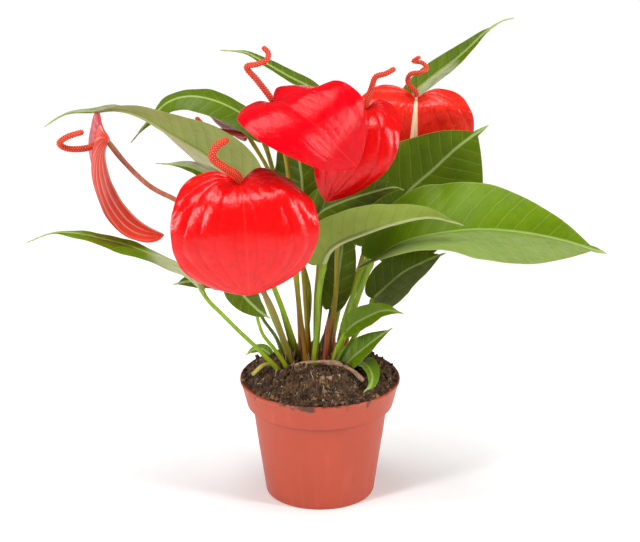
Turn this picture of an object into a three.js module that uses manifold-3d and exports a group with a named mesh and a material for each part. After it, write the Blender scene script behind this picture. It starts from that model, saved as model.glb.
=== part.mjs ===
// Potted anthurium: a 12 cm nursery pot of peat with one young plant in flower.
// Millimetres, +Z up. The origin is the middle of the pot's flat base, and -Y is the plant's front.
import * as THREE from 'three';
import { mergeVertices } from 'three/addons/utils/BufferGeometryUtils.js';
import Module from 'manifold-3d';

// Pot, injection moulded with a tapered wall and a wider collar.
const potHeight = 92;
const rimRadius = 60;
const collarHeight = 21;
const collarFootRadius = 54.6;
const shoulderRadius = 50.9;
const baseRadius = 40.9;
const potWall = 1.4;
const drainHoleRadius = 4;
const drainHoleCount = 8;
const drainRingRadius = 30;
const potSides = 48;

// Soil, heaped to a low plateau that the crown of the plant stands on.
const soilGap = 0.4;
const soilTop = 104;
const soilRimLevel = 89.5;
const plateauRadius = 30;
const soilRings = 11;
const soilSides = 40;
const footLevel = soilTop + 0.4;

// Plant tissues.
const leafThickness = 0.8;
const spatheThickness = 1.1;
const petioleRadius = 1.9;
const peduncleRadius = 2.0;

const colours = {
  terracotta: '#cd5c42',
  peat: '#3b2a1f',
  leafMid: '#5f8f2c',
  leafBright: '#86b322',
  leafDark: '#33560f',
  leafPale: '#8ea163',
  spathe: '#f0102a',
  spatheDeep: '#cf0022',
  spatheCoral: '#fb4a38',
  spadix: '#ee5a2c',
  petiole: '#86a63c',
  petioleOlive: '#9a8f2e',
  peduncle: '#a8573f',
  stipule: '#a3302a',
  sheath: '#6b4326',
};

const root = new THREE.Group();
root.name = 'potted_anthurium';

function addPiece(name, geometry, colour, roughness) {
  const material = new THREE.MeshStandardMaterial({ color: colour, roughness, metalness: 0 });
  const mesh = new THREE.Mesh(geometry, material);
  mesh.name = name;
  root.add(mesh);
}

function vector(numbers) {
  return new THREE.Vector3(numbers[0], numbers[1], numbers[2]);
}

function smoothPath(points) {
  return new THREE.CatmullRomCurve3(points.map(vector), false, 'centripetal');
}

function movePoints(geometry, place) {
  const spots = geometry.attributes.position;
  const spot = new THREE.Vector3();
  for (let i = 0; i < spots.count; i += 1) {
    spot.fromBufferAttribute(spots, i);
    const moved = place(spot);
    spots.setXYZ(i, moved.x, moved.y, moved.z);
  }
  return geometry;
}

// Between neighbouring entries of a short list, share 0 to 1 along it.
function blendVectors(list, share) {
  const place = THREE.MathUtils.clamp(share, 0, 1) * (list.length - 1);
  const first = Math.min(Math.floor(place), list.length - 2);
  return vector(list[first]).lerp(vector(list[first + 1]), place - first).normalize();
}

// One number, or the first or second of a pair on the blade's two halves.
function ofSide(value, side) {
  return Array.isArray(value) ? value[side < 0 ? 0 : 1] : value;
}

// Half the blade's width at a share of its length, as a part of its widest half.
function outline(blade, share, side) {
  const belly = ofSide(blade.belly, side);
  const shoulder = ofSide(blade.shoulder, side);
  if (share < belly) {
    const back = 1 - share / belly;
    return shoulder + (1 - shoulder) * Math.pow(1 - back * back, blade.rise);
  }
  const forward = (share - belly) / (1 - belly);
  return Math.pow(1 - Math.pow(forward, ofSide(blade.bulge, side)), ofSide(blade.taper, side));
}

// A leaf or spathe blade. A flat box is laid along the midrib: across it to the outline's width,
// back into the two lobes at its base, folded along the midrib and curled towards its edges.
function bladeGeometry(blade, thickness, columns, rows) {
  const rib = smoothPath(blade.rib);
  const length = rib.getLength();
  const flat = new THREE.BoxGeometry(2, 2, 1, columns, rows, 1);
  return movePoints(flat, (spot) => {
    const side = spot.x;
    const share = (1 - Math.cos((spot.y + 1) * Math.PI * 0.5)) * 0.5;
    const fade = Math.max(0, 1 - share / 0.5);
    const lobe = ofSide(blade.lobe, side) * fade * fade * Math.sin(Math.abs(side) * Math.PI * 0.5);
    const across = Math.max(ofSide(blade.half, side) * outline(blade, share, side), 0.5) * side;
    const along = share - lobe;
    const onRib = THREE.MathUtils.clamp(along, 0, 1);
    const point = rib.getPointAt(onRib);
    const tangent = rib.getTangentAt(onRib);
    point.addScaledVector(tangent, Math.min(0, along) * length);
    const normal = blendVectors(blade.faces, onRib);
    const sideways = new THREE.Vector3().crossVectors(tangent, normal).normalize();
    normal.crossVectors(sideways, tangent).normalize();
    const angle = ofSide(blade.fold, side) + ofSide(blade.curl, side) * Math.abs(side) * 0.5;
    const skin = spot.z * thickness;
    point.addScaledVector(sideways, across * Math.cos(angle) - Math.sign(side) * skin * Math.sin(angle));
    point.addScaledVector(normal, Math.abs(across) * Math.sin(angle) + skin * Math.cos(angle));
    return point;
  });
}

// A round stalk or spadix: a cylinder bent along a path, thick at its foot and thinner at its top.
function stalkGeometry(points, footRadius, topRadius, sides, rows, levelFoot) {
  const path = smoothPath(points);
  const frames = path.computeFrenetFrames(rows, false);
  const straight = new THREE.CylinderGeometry(1, 1, 1, sides, rows, false);
  return movePoints(straight, (spot) => {
    const share = 0.5 + spot.y;
    const row = Math.round(share * rows);
    const radius = footRadius + (topRadius - footRadius) * share;
    const point = path.getPointAt(share);
    point.addScaledVector(frames.normals[row], spot.x * radius);
    point.addScaledVector(frames.binormals[row], -spot.z * radius);
    if (levelFoot && row === 0) {
      point.z = points[0][2];
    }
    return point;
  });
}

function toManifold(wasm, geometry) {
  const bare = geometry.clone();
  bare.deleteAttribute('normal');
  bare.deleteAttribute('uv');
  const merged = mergeVertices(bare, 1e-4);
  const vertProperties = Float32Array.from(merged.attributes.position.array);
  const triVerts = Uint32Array.from(merged.index.array);
  return new wasm.Manifold(new wasm.Mesh({ numProp: 3, vertProperties, triVerts }));
}

function fromManifold(solid) {
  const mesh = solid.getMesh();
  const geometry = new THREE.BufferGeometry();
  geometry.setAttribute('position', new THREE.BufferAttribute(Float32Array.from(mesh.vertProperties), 3));
  geometry.setIndex(Array.from(mesh.triVerts));
  return geometry;
}

// ---- Pot: lathed outside and inside, with a ring of drainage holes through its floor.
const collarFoot = potHeight - collarHeight;
const potProfile = [
  [0, 0],
  [baseRadius - 1.2, 0],
  [baseRadius, 1.2],
  [shoulderRadius, collarFoot],
  [collarFootRadius, collarFoot],
  [rimRadius - 0.9, potHeight - 3.4],
  [rimRadius, potHeight - 2.6],
  [rimRadius, potHeight - 0.6],
  [rimRadius - 0.6, potHeight],
  [rimRadius - 2.4, potHeight],
  [collarFootRadius - potWall, collarFoot + 1.6],
  [shoulderRadius - potWall, collarFoot - 1.4],
  [baseRadius - potWall + 0.2, 2],
  [0, 2],
];
const lathedPot = new THREE.LatheGeometry(potProfile.map((p) => new THREE.Vector2(p[0], p[1])), potSides);
lathedPot.rotateX(Math.PI / 2);
const wasm = await Module();
wasm.setup();
let potSolid = toManifold(wasm, lathedPot);
for (let i = 0; i < drainHoleCount; i += 1) {
  const turn = ((i + 0.5) / drainHoleCount) * Math.PI * 2;
  const drill = new THREE.CylinderGeometry(drainHoleRadius, drainHoleRadius, 8, 14);
  drill.rotateX(Math.PI / 2);
  drill.translate(Math.cos(turn) * drainRingRadius, Math.sin(turn) * drainRingRadius, 0);
  potSolid = potSolid.subtract(toManifold(wasm, drill));
}
addPiece('pot', fromManifold(potSolid), colours.terracotta, 0.42);

// ---- Soil: one body of peat that fills the pot and is heaped around the crown.
const soilProfile = [
  [0, 2 + soilGap],
  [baseRadius - potWall - soilGap, 2 + soilGap],
  [shoulderRadius - potWall - soilGap - 0.2, collarFoot - 1.4],
  [collarFootRadius - potWall - soilGap - 0.4, collarFoot + 2.2],
  [rimRadius - 2.4 - soilGap - 0.9, soilRimLevel - 1.5],
];
for (let i = 0; i <= soilRings; i += 1) {
  const radius = (rimRadius - 4) * (1 - i / soilRings);
  const climb = THREE.MathUtils.smoothstep(rimRadius - 4 - radius, 0, rimRadius - 4 - plateauRadius);
  soilProfile.push([radius, soilRimLevel + (soilTop - soilRimLevel) * climb]);
}
const soil = new THREE.LatheGeometry(soilProfile.map((p) => new THREE.Vector2(p[0], p[1])), soilSides);
soil.rotateX(Math.PI / 2);
movePoints(soil, (spot) => {
  const radius = Math.hypot(spot.x, spot.y);
  const slope = THREE.MathUtils.smoothstep(radius, plateauRadius, plateauRadius + 8)
    * (1 - THREE.MathUtils.smoothstep(radius, rimRadius - 7, rimRadius - 4));
  if (spot.z > soilRimLevel && slope > 0) {
    const lumps = Math.sin(spot.x * 0.31 + 1.1) * Math.cos(spot.y * 0.27 - 0.4)
      + Math.sin(spot.x * 0.71 + spot.y * 0.53);
    spot.z += lumps * 1.3 * slope;
  }
  return spot;
});
addPiece('soil', soil, colours.peat, 0.95);

// ---- Leaves. Each has a round petiole that rises from the crown and a blade folded along its midrib.
// rib: the midrib from the petiole to the tip. faces: which way the upper surface looks, base to tip.
// fold and curl: in radians for the left and the right half, positive towards the upper surface.
const leafShape = { belly: 0.34, shoulder: 0.3, rise: 0.5, bulge: 1.7, taper: 1, lobe: 0.05 };
const leaves = [
  {
    name: 'leaf_right_long', half: [45, 42], fold: [0.5, 0.5], curl: [-0.35, -0.3], colour: 'leafMid',
    belly: [0.3, 0.5], bulge: [1.35, 1.7],
    rib: [
      [38, -14, 190], [62, -22, 207], [87, -27, 215], [115, -30, 219],
      [144, -33, 218], [173, -35, 213], [207, -34, 202],
    ],
    faces: [[-0.5, -0.1, 0.85], [-0.1, -0.3, 0.93], [0.1, -0.7, 0.7], [0.2, -0.9, 0.5]],
    petiole: [[10, -8], [16, -9, 123], [23, -10, 143], [30, -12, 166], [36, -13, 183]],
  },
  {
    name: 'leaf_right_back', half: [37, 45], fold: [0.15, 0.1], curl: [-0.1, -0.2], colour: 'leafMid',
    bulge: [2.1, 4],
    rib: [
      [39, 20, 189], [49, 22, 206], [65, 22, 230], [83, 22, 247],
      [99, 22, 263], [112, 24, 273], [124, 28, 280],
    ],
    faces: [[-0.3, -0.9, 0.25], [-0.15, -0.95, 0.2], [0, -0.9, 0.4]],
    petiole: [[12, 5], [18, 9, 132], [28, 14, 161], [38, 19, 183]],
  },
  {
    name: 'leaf_right_spear', half: [10, 9], fold: [0.4, 0.3], curl: [0, 0], colour: 'leafMid',
    rib: [
      [64, 75, 285], [75, 75, 296], [87, 75, 306], [101, 75, 317],
      [112, 75, 327], [123, 75, 338], [136, 75, 347], [144, 75, 349],
    ],
    faces: [[-0.5, -0.7, 0.5], [-0.4, -0.7, 0.6]],
    petiole: [[7, 22], [19, 45, 152], [34, 66, 204], [50, 74, 250], [62, 75, 280]],
  },
  {
    name: 'leaf_front_arching', half: [20, 25], fold: [1.35, 0.5], curl: [-0.2, -0.2], colour: 'leafPale',
    rib: [
      [3, -19, 190], [6, -24, 199], [13, -30, 208], [36, -42, 222],
      [53, -46, 229], [78, -50, 235], [102, -52, 230],
    ],
    faces: [[-0.35, 0.85, 0.35], [-0.2, 0.75, 0.6], [0.1, 0.6, 0.8]],
    petiole: [[-5, -12], [-2, -11, 137], [-1, -13, 160], [2, -18, 186]],
  },
  {
    name: 'leaf_centre_dark', half: 19, fold: [0.35, 0.35], curl: [-0.2, -0.2], colour: 'leafDark',
    rib: [[-5, 7, 211], [1, 3, 221], [18, -2, 231], [36, -2, 237], [53, 2, 240], [62, 10, 236]],
    faces: [[-0.5, -0.6, 0.6], [-0.2, -0.45, 0.85]],
    petiole: [[-3, 6], [-3, 12, 148], [-1, 10, 185], [-4, 8, 206]],
  },
  {
    name: 'leaf_right_low', half: 17, fold: [0.25, 0.25], curl: [-0.2, -0.2], colour: 'leafPale',
    rib: [[40, 14, 149], [50, 8, 161], [62, 2, 174], [77, 0, 183], [93, 4, 189]],
    faces: [[-0.4, -0.8, 0.4], [-0.3, -0.8, 0.5]],
    petiole: [[18, 5], [25, 10, 118], [32, 13, 129], [38, 14, 144]],
  },
  {
    name: 'leaf_small_right', half: 10, fold: [0.35, 0.35], curl: [0, 0], colour: 'leafMid',
    rib: [[19, -21, 136], [25, -22, 142], [34, -26, 149], [47, -30, 156], [61, -32, 155]],
    faces: [[-0.3, -0.7, 0.6], [-0.1, -0.7, 0.7]],
    petiole: [[8, -18], [12, -19, 122], [18, -20.5, 133]],
  },
  {
    name: 'leaf_small_front', half: 11, fold: [0.3, 0.3], curl: [0, 0], colour: 'leafBright',
    rib: [[16, -17, 108], [24, -18, 114], [31, -20, 121], [41, -24, 131], [53, -26, 141]],
    faces: [[-0.5, -0.6, 0.6], [-0.4, -0.6, 0.7]],
  },
  {
    name: 'leaf_small_curled', half: [8.5, 8], fold: [0.2, 0.2], curl: [-0.3, -0.3], colour: 'leafMid',
    rib: [
      [28, -8, 107.5], [32, -18, 110.5], [36.5, -28, 109.5],
      [38.5, -35, 106], [37, -41, 101.5], [32, -46, 98],
    ],
    faces: [[-0.5, 0.2, 0.8], [0.6, -0.5, 0.7], [0.8, -0.6, 0.2]],
  },
  {
    name: 'leaf_left_long', half: [27, 20], fold: [0.6, 0.2], curl: [-0.3, -0.2], colour: 'leafPale',
    belly: 0.2, bulge: 1.5, taper: 1.2,
    rib: [
      [-54, -16, 246], [-66, -14, 257], [-79, -12, 267], [-104, -9, 282], [-132, -6, 298],
      [-147, -4, 301], [-163, -2, 299], [-183, 0, 297], [-200, 0, 287],
    ],
    faces: [[0.3, 0.75, 0.6], [0.15, 0.7, 0.7], [0.1, 0.4, 0.9], [0, -0.2, 0.95], [0, -0.3, 0.95]],
    petiole: [
      [-24, 4], [-28, 2, 121], [-35, -1, 141],
      [-42, -6, 164], [-48, -11, 205], [-51.5, -12.5, 234],
    ],
  },
  {
    name: 'leaf_left_back', half: 15, fold: [-0.1, -0.1], curl: [-0.3, -0.3], colour: 'leafBright',
    rib: [
      [-43, 30, 274], [-54, 29, 286], [-75, 28, 298], [-95, 28, 302],
      [-111, 27, 298], [-126, 24, 284], [-139, 20, 269],
    ],
    faces: [[0.4, -0.45, 0.8], [0, -0.4, 0.95], [-0.85, -0.3, 0.5]],
    petiole: [[-14, 17], [-17, 22, 152], [-26, 28, 205], [-36, 31, 248], [-42, 31, 269]],
  },
  {
    name: 'leaf_top_slender', half: 6, fold: [0.3, 0.3], curl: [0, 0], colour: 'leafDark',
    rib: [[5, 56, 290], [-6, 56, 300], [-22, 58, 308], [-40, 60, 318], [-56, 62, 326], [-74, 62, 328]],
    faces: [[0.3, -0.6, 0.7], [0.2, -0.5, 0.85]],
    petiole: [[-3, 25], [2, 40, 154], [6, 52, 214], [9, 56, 268], [6, 56, 287]],
  },
  {
    name: 'leaf_left_narrow', half: 7, fold: [0.2, 0.2], curl: [0, 0], colour: 'leafDark',
    rib: [[-59, -30, 236], [-70, -32, 253], [-82, -34, 263], [-96, -35, 269], [-117, -36, 271]],
    faces: [[0.2, -0.8, 0.5], [-0.1, -0.7, 0.7]],
    petiole: [[-19, 11], [-33, -1, 162], [-46, -18, 203], [-57, -28, 231]],
  },
  {
    name: 'leaf_left_low', half: [16, 7], fold: [0.1, 0.3], curl: [-0.2, -0.2], colour: 'leafMid',
    belly: 0.58, shoulder: 0.2, rise: 1.6, bulge: 1.2, taper: 1.3,
    rib: [
      [-88, -28, 176], [-97, -30, 187], [-116, -33, 198], [-136, -36, 208],
      [-154, -38, 214], [-172, -40, 219], [-192, -40, 220], [-211, -38, 212],
    ],
    faces: [[0.5, -0.4, 0.7], [0.1, -0.1, 0.95], [0, -0.1, 0.98], [0, -0.3, 0.9]],
    petiole: [
      [-30, -14], [-46, -22, 123], [-59, -26, 138],
      [-72, -28, 153], [-82, -28, 164], [-85.5, -28, 168.5],
    ],
  },
  {
    name: 'leaf_left_hanging', half: 12, fold: [0.3, 0.3], curl: [0, 0], colour: 'leafDark',
    rib: [[-55, -30, 182], [-59, -37, 182], [-56, -44, 175], [-46, -48, 165], [-36, -46, 156]],
    faces: [[-0.3, -0.2, 0.9], [-0.5, -0.5, 0.7], [-0.4, -0.7, 0.3]],
    petiole: [
      [-23, -13], [-33, -18, 120], [-42, -24, 135],
      [-45, -28, 146], [-48, -29, 161], [-53, -29, 177],
    ],
  },
  {
    name: 'leaf_left_short', half: 12, fold: [0.3, 0.3], curl: [-0.1, -0.1], colour: 'leafDark',
    rib: [[-60, -2, 167], [-68, -6, 172], [-81, -8, 174], [-94, -10, 172], [-108, -12, 170]],
    faces: [[0.1, -0.7, 0.7], [0, -0.7, 0.7]],
    petiole: [[-26, -5], [-32, -4, 123], [-42, -2, 138], [-49, -1, 152], [-58, -1.5, 164]],
  },
  {
    name: 'leaf_centre_back', half: 13, fold: [0.25, 0.25], curl: [0, 0], colour: 'leafDark',
    rib: [[9, 24, 139], [13, 34, 155], [16, 40, 175], [18, 43, 196], [20, 46, 213]],
    faces: [[0.1, -0.9, 0.4], [0.2, -0.85, 0.5]],
    petiole: [[0, 17], [5, 19, 122], [8, 22.5, 135]],
  },
  {
    name: 'leaf_behind_flowers', half: 22, fold: [0.15, 0.15], curl: [0, 0], colour: 'leafDark',
    rib: [[-14, 18, 213], [-13, 20, 230], [-15, 24, 252], [-22, 30, 274], [-29, 36, 290]],
    faces: [[0.2, -0.9, 0.3], [0.2, -0.9, 0.4]],
    petiole: [[-8, 13], [-11, 15, 148], [-13, 16, 180], [-14, 18, 209]],
  },
  {
    name: 'leaf_rim_sprout', half: 5, fold: [0.2, 0.2], curl: [0, 0], colour: 'leafBright',
    rib: [[-37, 22, 101], [-44, 26, 103.5], [-51, 29, 101], [-57, 32, 96]],
    faces: [[0.2, -0.5, 0.9], [0, -0.5, 0.9]],
  },
];

for (const leaf of leaves) {
  const blade = { ...leafShape, ...leaf };
  const wide = ofSide(leaf.half, 1) > 12 || ofSide(leaf.half, -1) > 12;
  const rows = wide ? 11 : 7;
  addPiece(leaf.name, bladeGeometry(blade, leafThickness, 4, rows), colours[leaf.colour], 0.4);
  if (leaf.petiole) {
    const path = leaf.petiole.map((p) => (p.length === 2 ? [p[0], p[1], footLevel] : p));
    const radius = petioleRadius * (wide ? 1 : 0.7);
    const stalk = stalkGeometry(path, radius * 1.4, radius, 6, path.length * 2, true);
    addPiece(leaf.name.replace('leaf', 'petiole'), stalk, colours.petiole, 0.45);
  }
}

// ---- Flowers. A stalk carries a heart-shaped spathe with a spadix standing out of its notch.
const spatheShape = { belly: 0.42, shoulder: 0.5, rise: 0.5, bulge: 2, taper: 0.62, lobe: 0.12 };
const flowers = [
  {
    name: 'front', half: 52, fold: [0, 0.1], curl: [-0.5, -0.4],
    colour: 'spathe', stalkColour: 'petiole',
    bulge: [2.5, 3.3], taper: [0.55, 0.5],
    rib: [[-56, -75, 271], [-53, -96, 262], [-51, -106, 238], [-50, -101, 214], [-50, -90, 191]],
    faces: [[0, -0.3, 0.9], [0, -0.95, 0.3], [0, -0.95, -0.2], [0, -0.85, -0.4]],
    spadix: [[-57, -75, 275], [-66, -84, 283], [-74, -88, 292], [-71, -86, 299], [-63, -82, 303]],
    spadixRadius: [3.2, 2.4],
    stalk: [[-15, 4], [-27, -12, 148], [-42, -38, 202], [-52, -60, 248], [-56, -71, 268]],
  },
  {
    name: 'top', half: [43, 37], fold: [0.05, 0.22], curl: [-0.2, -0.6],
    colour: 'spatheDeep', stalkColour: 'petioleOlive',
    belly: [0.5, 0.26], bulge: [2.2, 1.4], taper: [0.62, 0.85], lobe: [0.14, 0.06],
    rib: [[-34, -46, 321], [-21, -64, 321], [-5, -74, 312], [11, -74, 295], [26, -64, 277]],
    faces: [[0.1, -0.4, 0.9], [0.35, -0.75, 0.5], [0.4, -0.85, 0.2]],
    spadix: [
      [-36, -44, 324], [-44, -46, 335], [-51, -48, 345], [-44, -52, 348],
      [-37, -52, 351], [-36, -48, 355], [-40, -46, 359],
    ],
    spadixRadius: [2.2, 1.7],
    stalk: [
      [-10, -4], [-16, 0, 153], [-18, -6, 195],
      [-22, -14, 248], [-27, -24, 285], [-33, -41, 317],
    ],
  },
  {
    name: 'centre', half: 29, fold: [0.1, 0.2], curl: [-0.4, -0.4],
    bulge: [1.7, 2.2], taper: [0.9, 0.7], colour: 'spathe', stalkColour: 'petiole',
    rib: [[33, -1, 303], [31, -20, 296], [26, -30, 280], [16, -33, 259], [5, -30, 240]],
    faces: [[0.1, -0.3, 0.9], [0.2, -0.9, 0.3], [0.1, -0.95, -0.1]],
    spadix: [[34, 0, 307], [37, 0, 316], [40, -2, 325], [47, -4, 328], [54, -4, 332]],
    spadixRadius: [2.2, 1.7],
    stalk: [[5, 11], [12, 14, 156], [13, 16, 187], [18, 14, 227], [28, 8, 267], [33, 1, 299]],
  },
  {
    name: 'right', half: 45, fold: [0.05, 0.1], curl: [-0.2, -0.1],
    colour: 'spatheCoral', stalkColour: 'petioleOlive',
    rib: [[72, 58, 294], [71, 48, 288], [70, 44, 273], [69, 46, 250], [68, 52, 234]],
    faces: [[0, -0.4, 0.9], [0.1, -0.9, 0.3], [0.1, -0.95, -0.1]],
    spadix: [
      [71, 56, 298], [67, 55, 302], [65, 54, 307], [67, 52, 312], [74, 50, 314],
      [79, 52, 316], [76, 54, 320], [69, 52, 322], [74, 50, 326],
    ],
    spadixRadius: [1.9, 1.3],
    stalk: [
      [18, 14], [24, 22, 145], [31, 29, 173], [37, 36, 192],
      [39, 43, 216], [42, 50, 240], [53, 59, 265], [70, 62, 289],
    ],
  },
  {
    name: 'left', half: 31, fold: [0.4, 0.4], curl: [-0.1, -0.1],
    colour: 'spathe', stalkColour: 'peduncle',
    lobe: 0.16,
    rib: [
      [-154, -21, 285], [-155, -20, 270], [-151, -18, 249],
      [-142, -16, 231], [-129, -13, 217], [-114, -10, 208],
    ],
    faces: [[-0.9, -0.1, 0], [-0.95, -0.15, -0.2], [-0.8, -0.15, -0.6]],
    spadix: [
      [-160, -23, 281], [-167, -26, 279], [-180, -30, 280],
      [-185, -34, 285], [-179, -38, 291], [-167, -38, 295],
    ],
    spadixRadius: [2.4, 2.0],
    stalk: [
      [-20, -3], [-27, -9, 125], [-38, -17, 159], [-58, -27, 194], [-83, -28, 223],
      [-101, -28, 239], [-122, -25, 250], [-140, -22, 267], [-151, -20.5, 283],
    ],
  },
  {
    name: 'back', half: 20, fold: [0.1, 0.1], curl: [-0.2, -0.2],
    colour: 'spatheDeep', stalkColour: 'petioleOlive',
    rib: [[-55, 52, 266], [-65, 50, 276], [-79, 52, 286], [-95, 56, 296]],
    faces: [[-0.4, -0.6, -0.6], [-0.45, -0.6, -0.6]],
    spadix: [[-58, 46, 267], [-67, 36, 272], [-76, 28, 276], [-84, 18, 282], [-90, 10, 291]],
    spadixRadius: [2.2, 1.7],
    stalk: [[-12, 25], [-8, 28, 148], [-13, 32, 170], [-24, 40, 208], [-40, 47, 242], [-53, 52, 263]],
  },
];

for (const flower of flowers) {
  const blade = { ...spatheShape, ...flower };
  const spathe = bladeGeometry(blade, spatheThickness, 6, 10);
  addPiece(`spathe_${flower.name}`, spathe, colours[flower.colour], 0.2);
  const [thick, thin] = flower.spadixRadius;
  const spadix = stalkGeometry(flower.spadix, thick, thin, 8, 14, false);
  addPiece(`spadix_${flower.name}`, spadix, colours.spadix, 0.55);
  const path = flower.stalk.map((p) => (p.length === 2 ? [p[0], p[1], footLevel] : p));
  const stalk = stalkGeometry(path, peduncleRadius * 1.2, peduncleRadius * 0.9, 6, path.length * 2, true);
  addPiece(`flower_stalk_${flower.name}`, stalk, colours[flower.stalkColour], 0.45);
}

// ---- Crown pieces: two young stipules, a dead papery sheath and the stub of a cut stalk.
const budOne = [[3, -8, footLevel], [4, -9, 118], [5, -10, 132], [6, -11, 144]];
addPiece('stipule_tall', stalkGeometry(budOne, 2.2, 0.5, 6, 6, true), colours.stipule, 0.5);
const budTwo = [[9, 1, footLevel], [10, 0, 116], [11, -1, 130]];
addPiece('stipule_short', stalkGeometry(budTwo, 2, 0.5, 6, 6, true), colours.stipule, 0.5);
const sheathPath = [
  [-19, -23, 109.5], [-8, -20, 111], [4, -22, 112], [14, -25, 112],
  [24, -31, 109], [32, -38, 104],
];
addPiece('dead_sheath', stalkGeometry(sheathPath, 1.4, 0.8, 6, 8, false), colours.sheath, 0.8);
const stubPath = [[-34, -10, 106.5], [-42, -14, 106.5], [-50, -21, 102]];
addPiece('cut_stub', stalkGeometry(stubPath, 1.4, 1.4, 6, 4, false), colours.petioleOlive, 0.6);

export default root;
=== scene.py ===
import math
from functools import partialmethod

import bpy
import numpy as np
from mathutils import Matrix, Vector, noise


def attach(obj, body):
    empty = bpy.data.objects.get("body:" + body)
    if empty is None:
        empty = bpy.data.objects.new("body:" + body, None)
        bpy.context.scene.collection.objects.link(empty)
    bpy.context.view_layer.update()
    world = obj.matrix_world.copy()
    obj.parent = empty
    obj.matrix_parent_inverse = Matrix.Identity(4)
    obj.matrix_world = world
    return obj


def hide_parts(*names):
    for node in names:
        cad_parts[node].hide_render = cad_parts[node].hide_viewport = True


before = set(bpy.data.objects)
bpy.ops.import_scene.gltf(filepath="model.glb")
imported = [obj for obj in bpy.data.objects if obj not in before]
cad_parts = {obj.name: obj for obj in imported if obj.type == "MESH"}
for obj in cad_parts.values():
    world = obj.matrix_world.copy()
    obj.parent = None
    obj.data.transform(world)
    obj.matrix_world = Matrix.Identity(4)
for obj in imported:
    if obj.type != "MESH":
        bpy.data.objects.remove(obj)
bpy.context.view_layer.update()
MM = 0.001

# ---- Pot ----
# A 12 cm nursery pot, injection moulded in one shot from terracotta-coloured plastic: a tapered
# wall, a wider collar so that pots stack, a rolled lip, and a floor pierced with drainage holes.


def piece_from(name, points, faces, marks=None, crease=38):
    """A smooth mesh piece from millimetre points, with named numbers kept on its points."""
    mesh = bpy.data.meshes.new(name)
    mesh.from_pydata((np.asarray(points) * MM).tolist(), [], faces)
    for mark, values in (marks or {}).items():
        values = np.asarray(values, dtype=np.float32)
        kind, field = ("FLOAT", "value") if values.ndim == 1 else ("FLOAT_VECTOR", "vector")
        layer = mesh.attributes.new(mark, kind, "POINT")
        layer.data.foreach_set(field, values.ravel())
    mesh.polygons.foreach_set("use_smooth", [True] * len(mesh.polygons))
    mesh.set_sharp_from_angle(angle=math.radians(crease))
    return place_object(name, mesh)


def place_object(name, data):
    holder = bpy.data.objects.new(name, data)
    bpy.context.collection.objects.link(holder)
    return holder


def grid_faces(rows, columns, start=0, wrap=False, flip=False):
    """Quads of a grid of points laid row by row; wrap joins the end of each row to its start."""
    i, j = np.meshgrid(np.arange(rows - 1), np.arange(columns if wrap else columns - 1), indexing="ij")
    low, high, after = i * columns, (i + 1) * columns, (j + 1) % columns
    quads = np.stack([low + j, low + after, high + after, high + j], -1).reshape(-1, 4) + start
    return (quads[:, ::-1] if flip else quads).tolist()


def fan_faces(ring, centre, flip=False):
    """Triangles that close a ring of points with one centre point."""
    after = ring[1:] + ring[:1]
    return [(b, a, centre) if flip else (a, b, centre) for a, b in zip(ring, after)]


def capped_rings(rings, sides):
    """Faces of rings stacked into a tube, closed by the two centre points that follow them."""
    last = rings * sides
    faces = grid_faces(rings, sides, wrap=True)
    faces += fan_faces(list(range(sides)), last, flip=True)
    return faces + fan_faces(list(range(last - sides, last)), last + 1)


def lathe(profile, sides):
    """A closed body turned round Z from a profile that starts and ends on the axis."""
    turn = around(sides)
    rings = [np.stack([r * np.cos(turn), r * np.sin(turn), np.full(sides, z)], -1) for r, z in profile[1:-1]]
    points = np.concatenate(rings + [[[0, 0, profile[0][1]], [0, 0, profile[-1][1]]]])
    return points, capped_rings(len(rings), sides)


def around(sides):
    return np.linspace(0, 2 * np.pi, sides, endpoint=False)


def heap(makers):
    """Many small bodies joined as one list of points and faces, with a tone for each body."""
    points, faces, tones, start = [], [], [], 0
    for (body_points, body_faces), tone in makers:
        points.append(body_points)
        faces += [tuple(i + start for i in face) for face in body_faces]
        tones.append(np.full(len(body_points), tone))
        start += len(body_points)
    return np.concatenate(points), faces, {"tone": np.concatenate(tones)}


def settle(piece, finish, slot, *nodes):
    """Gives a piece its material, hangs it under the root body and hides the frame's parts that it replaces.
    """
    piece.data.materials.append(finish.material)
    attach(piece, "root")
    if nodes:
        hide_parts(*nodes)


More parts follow.
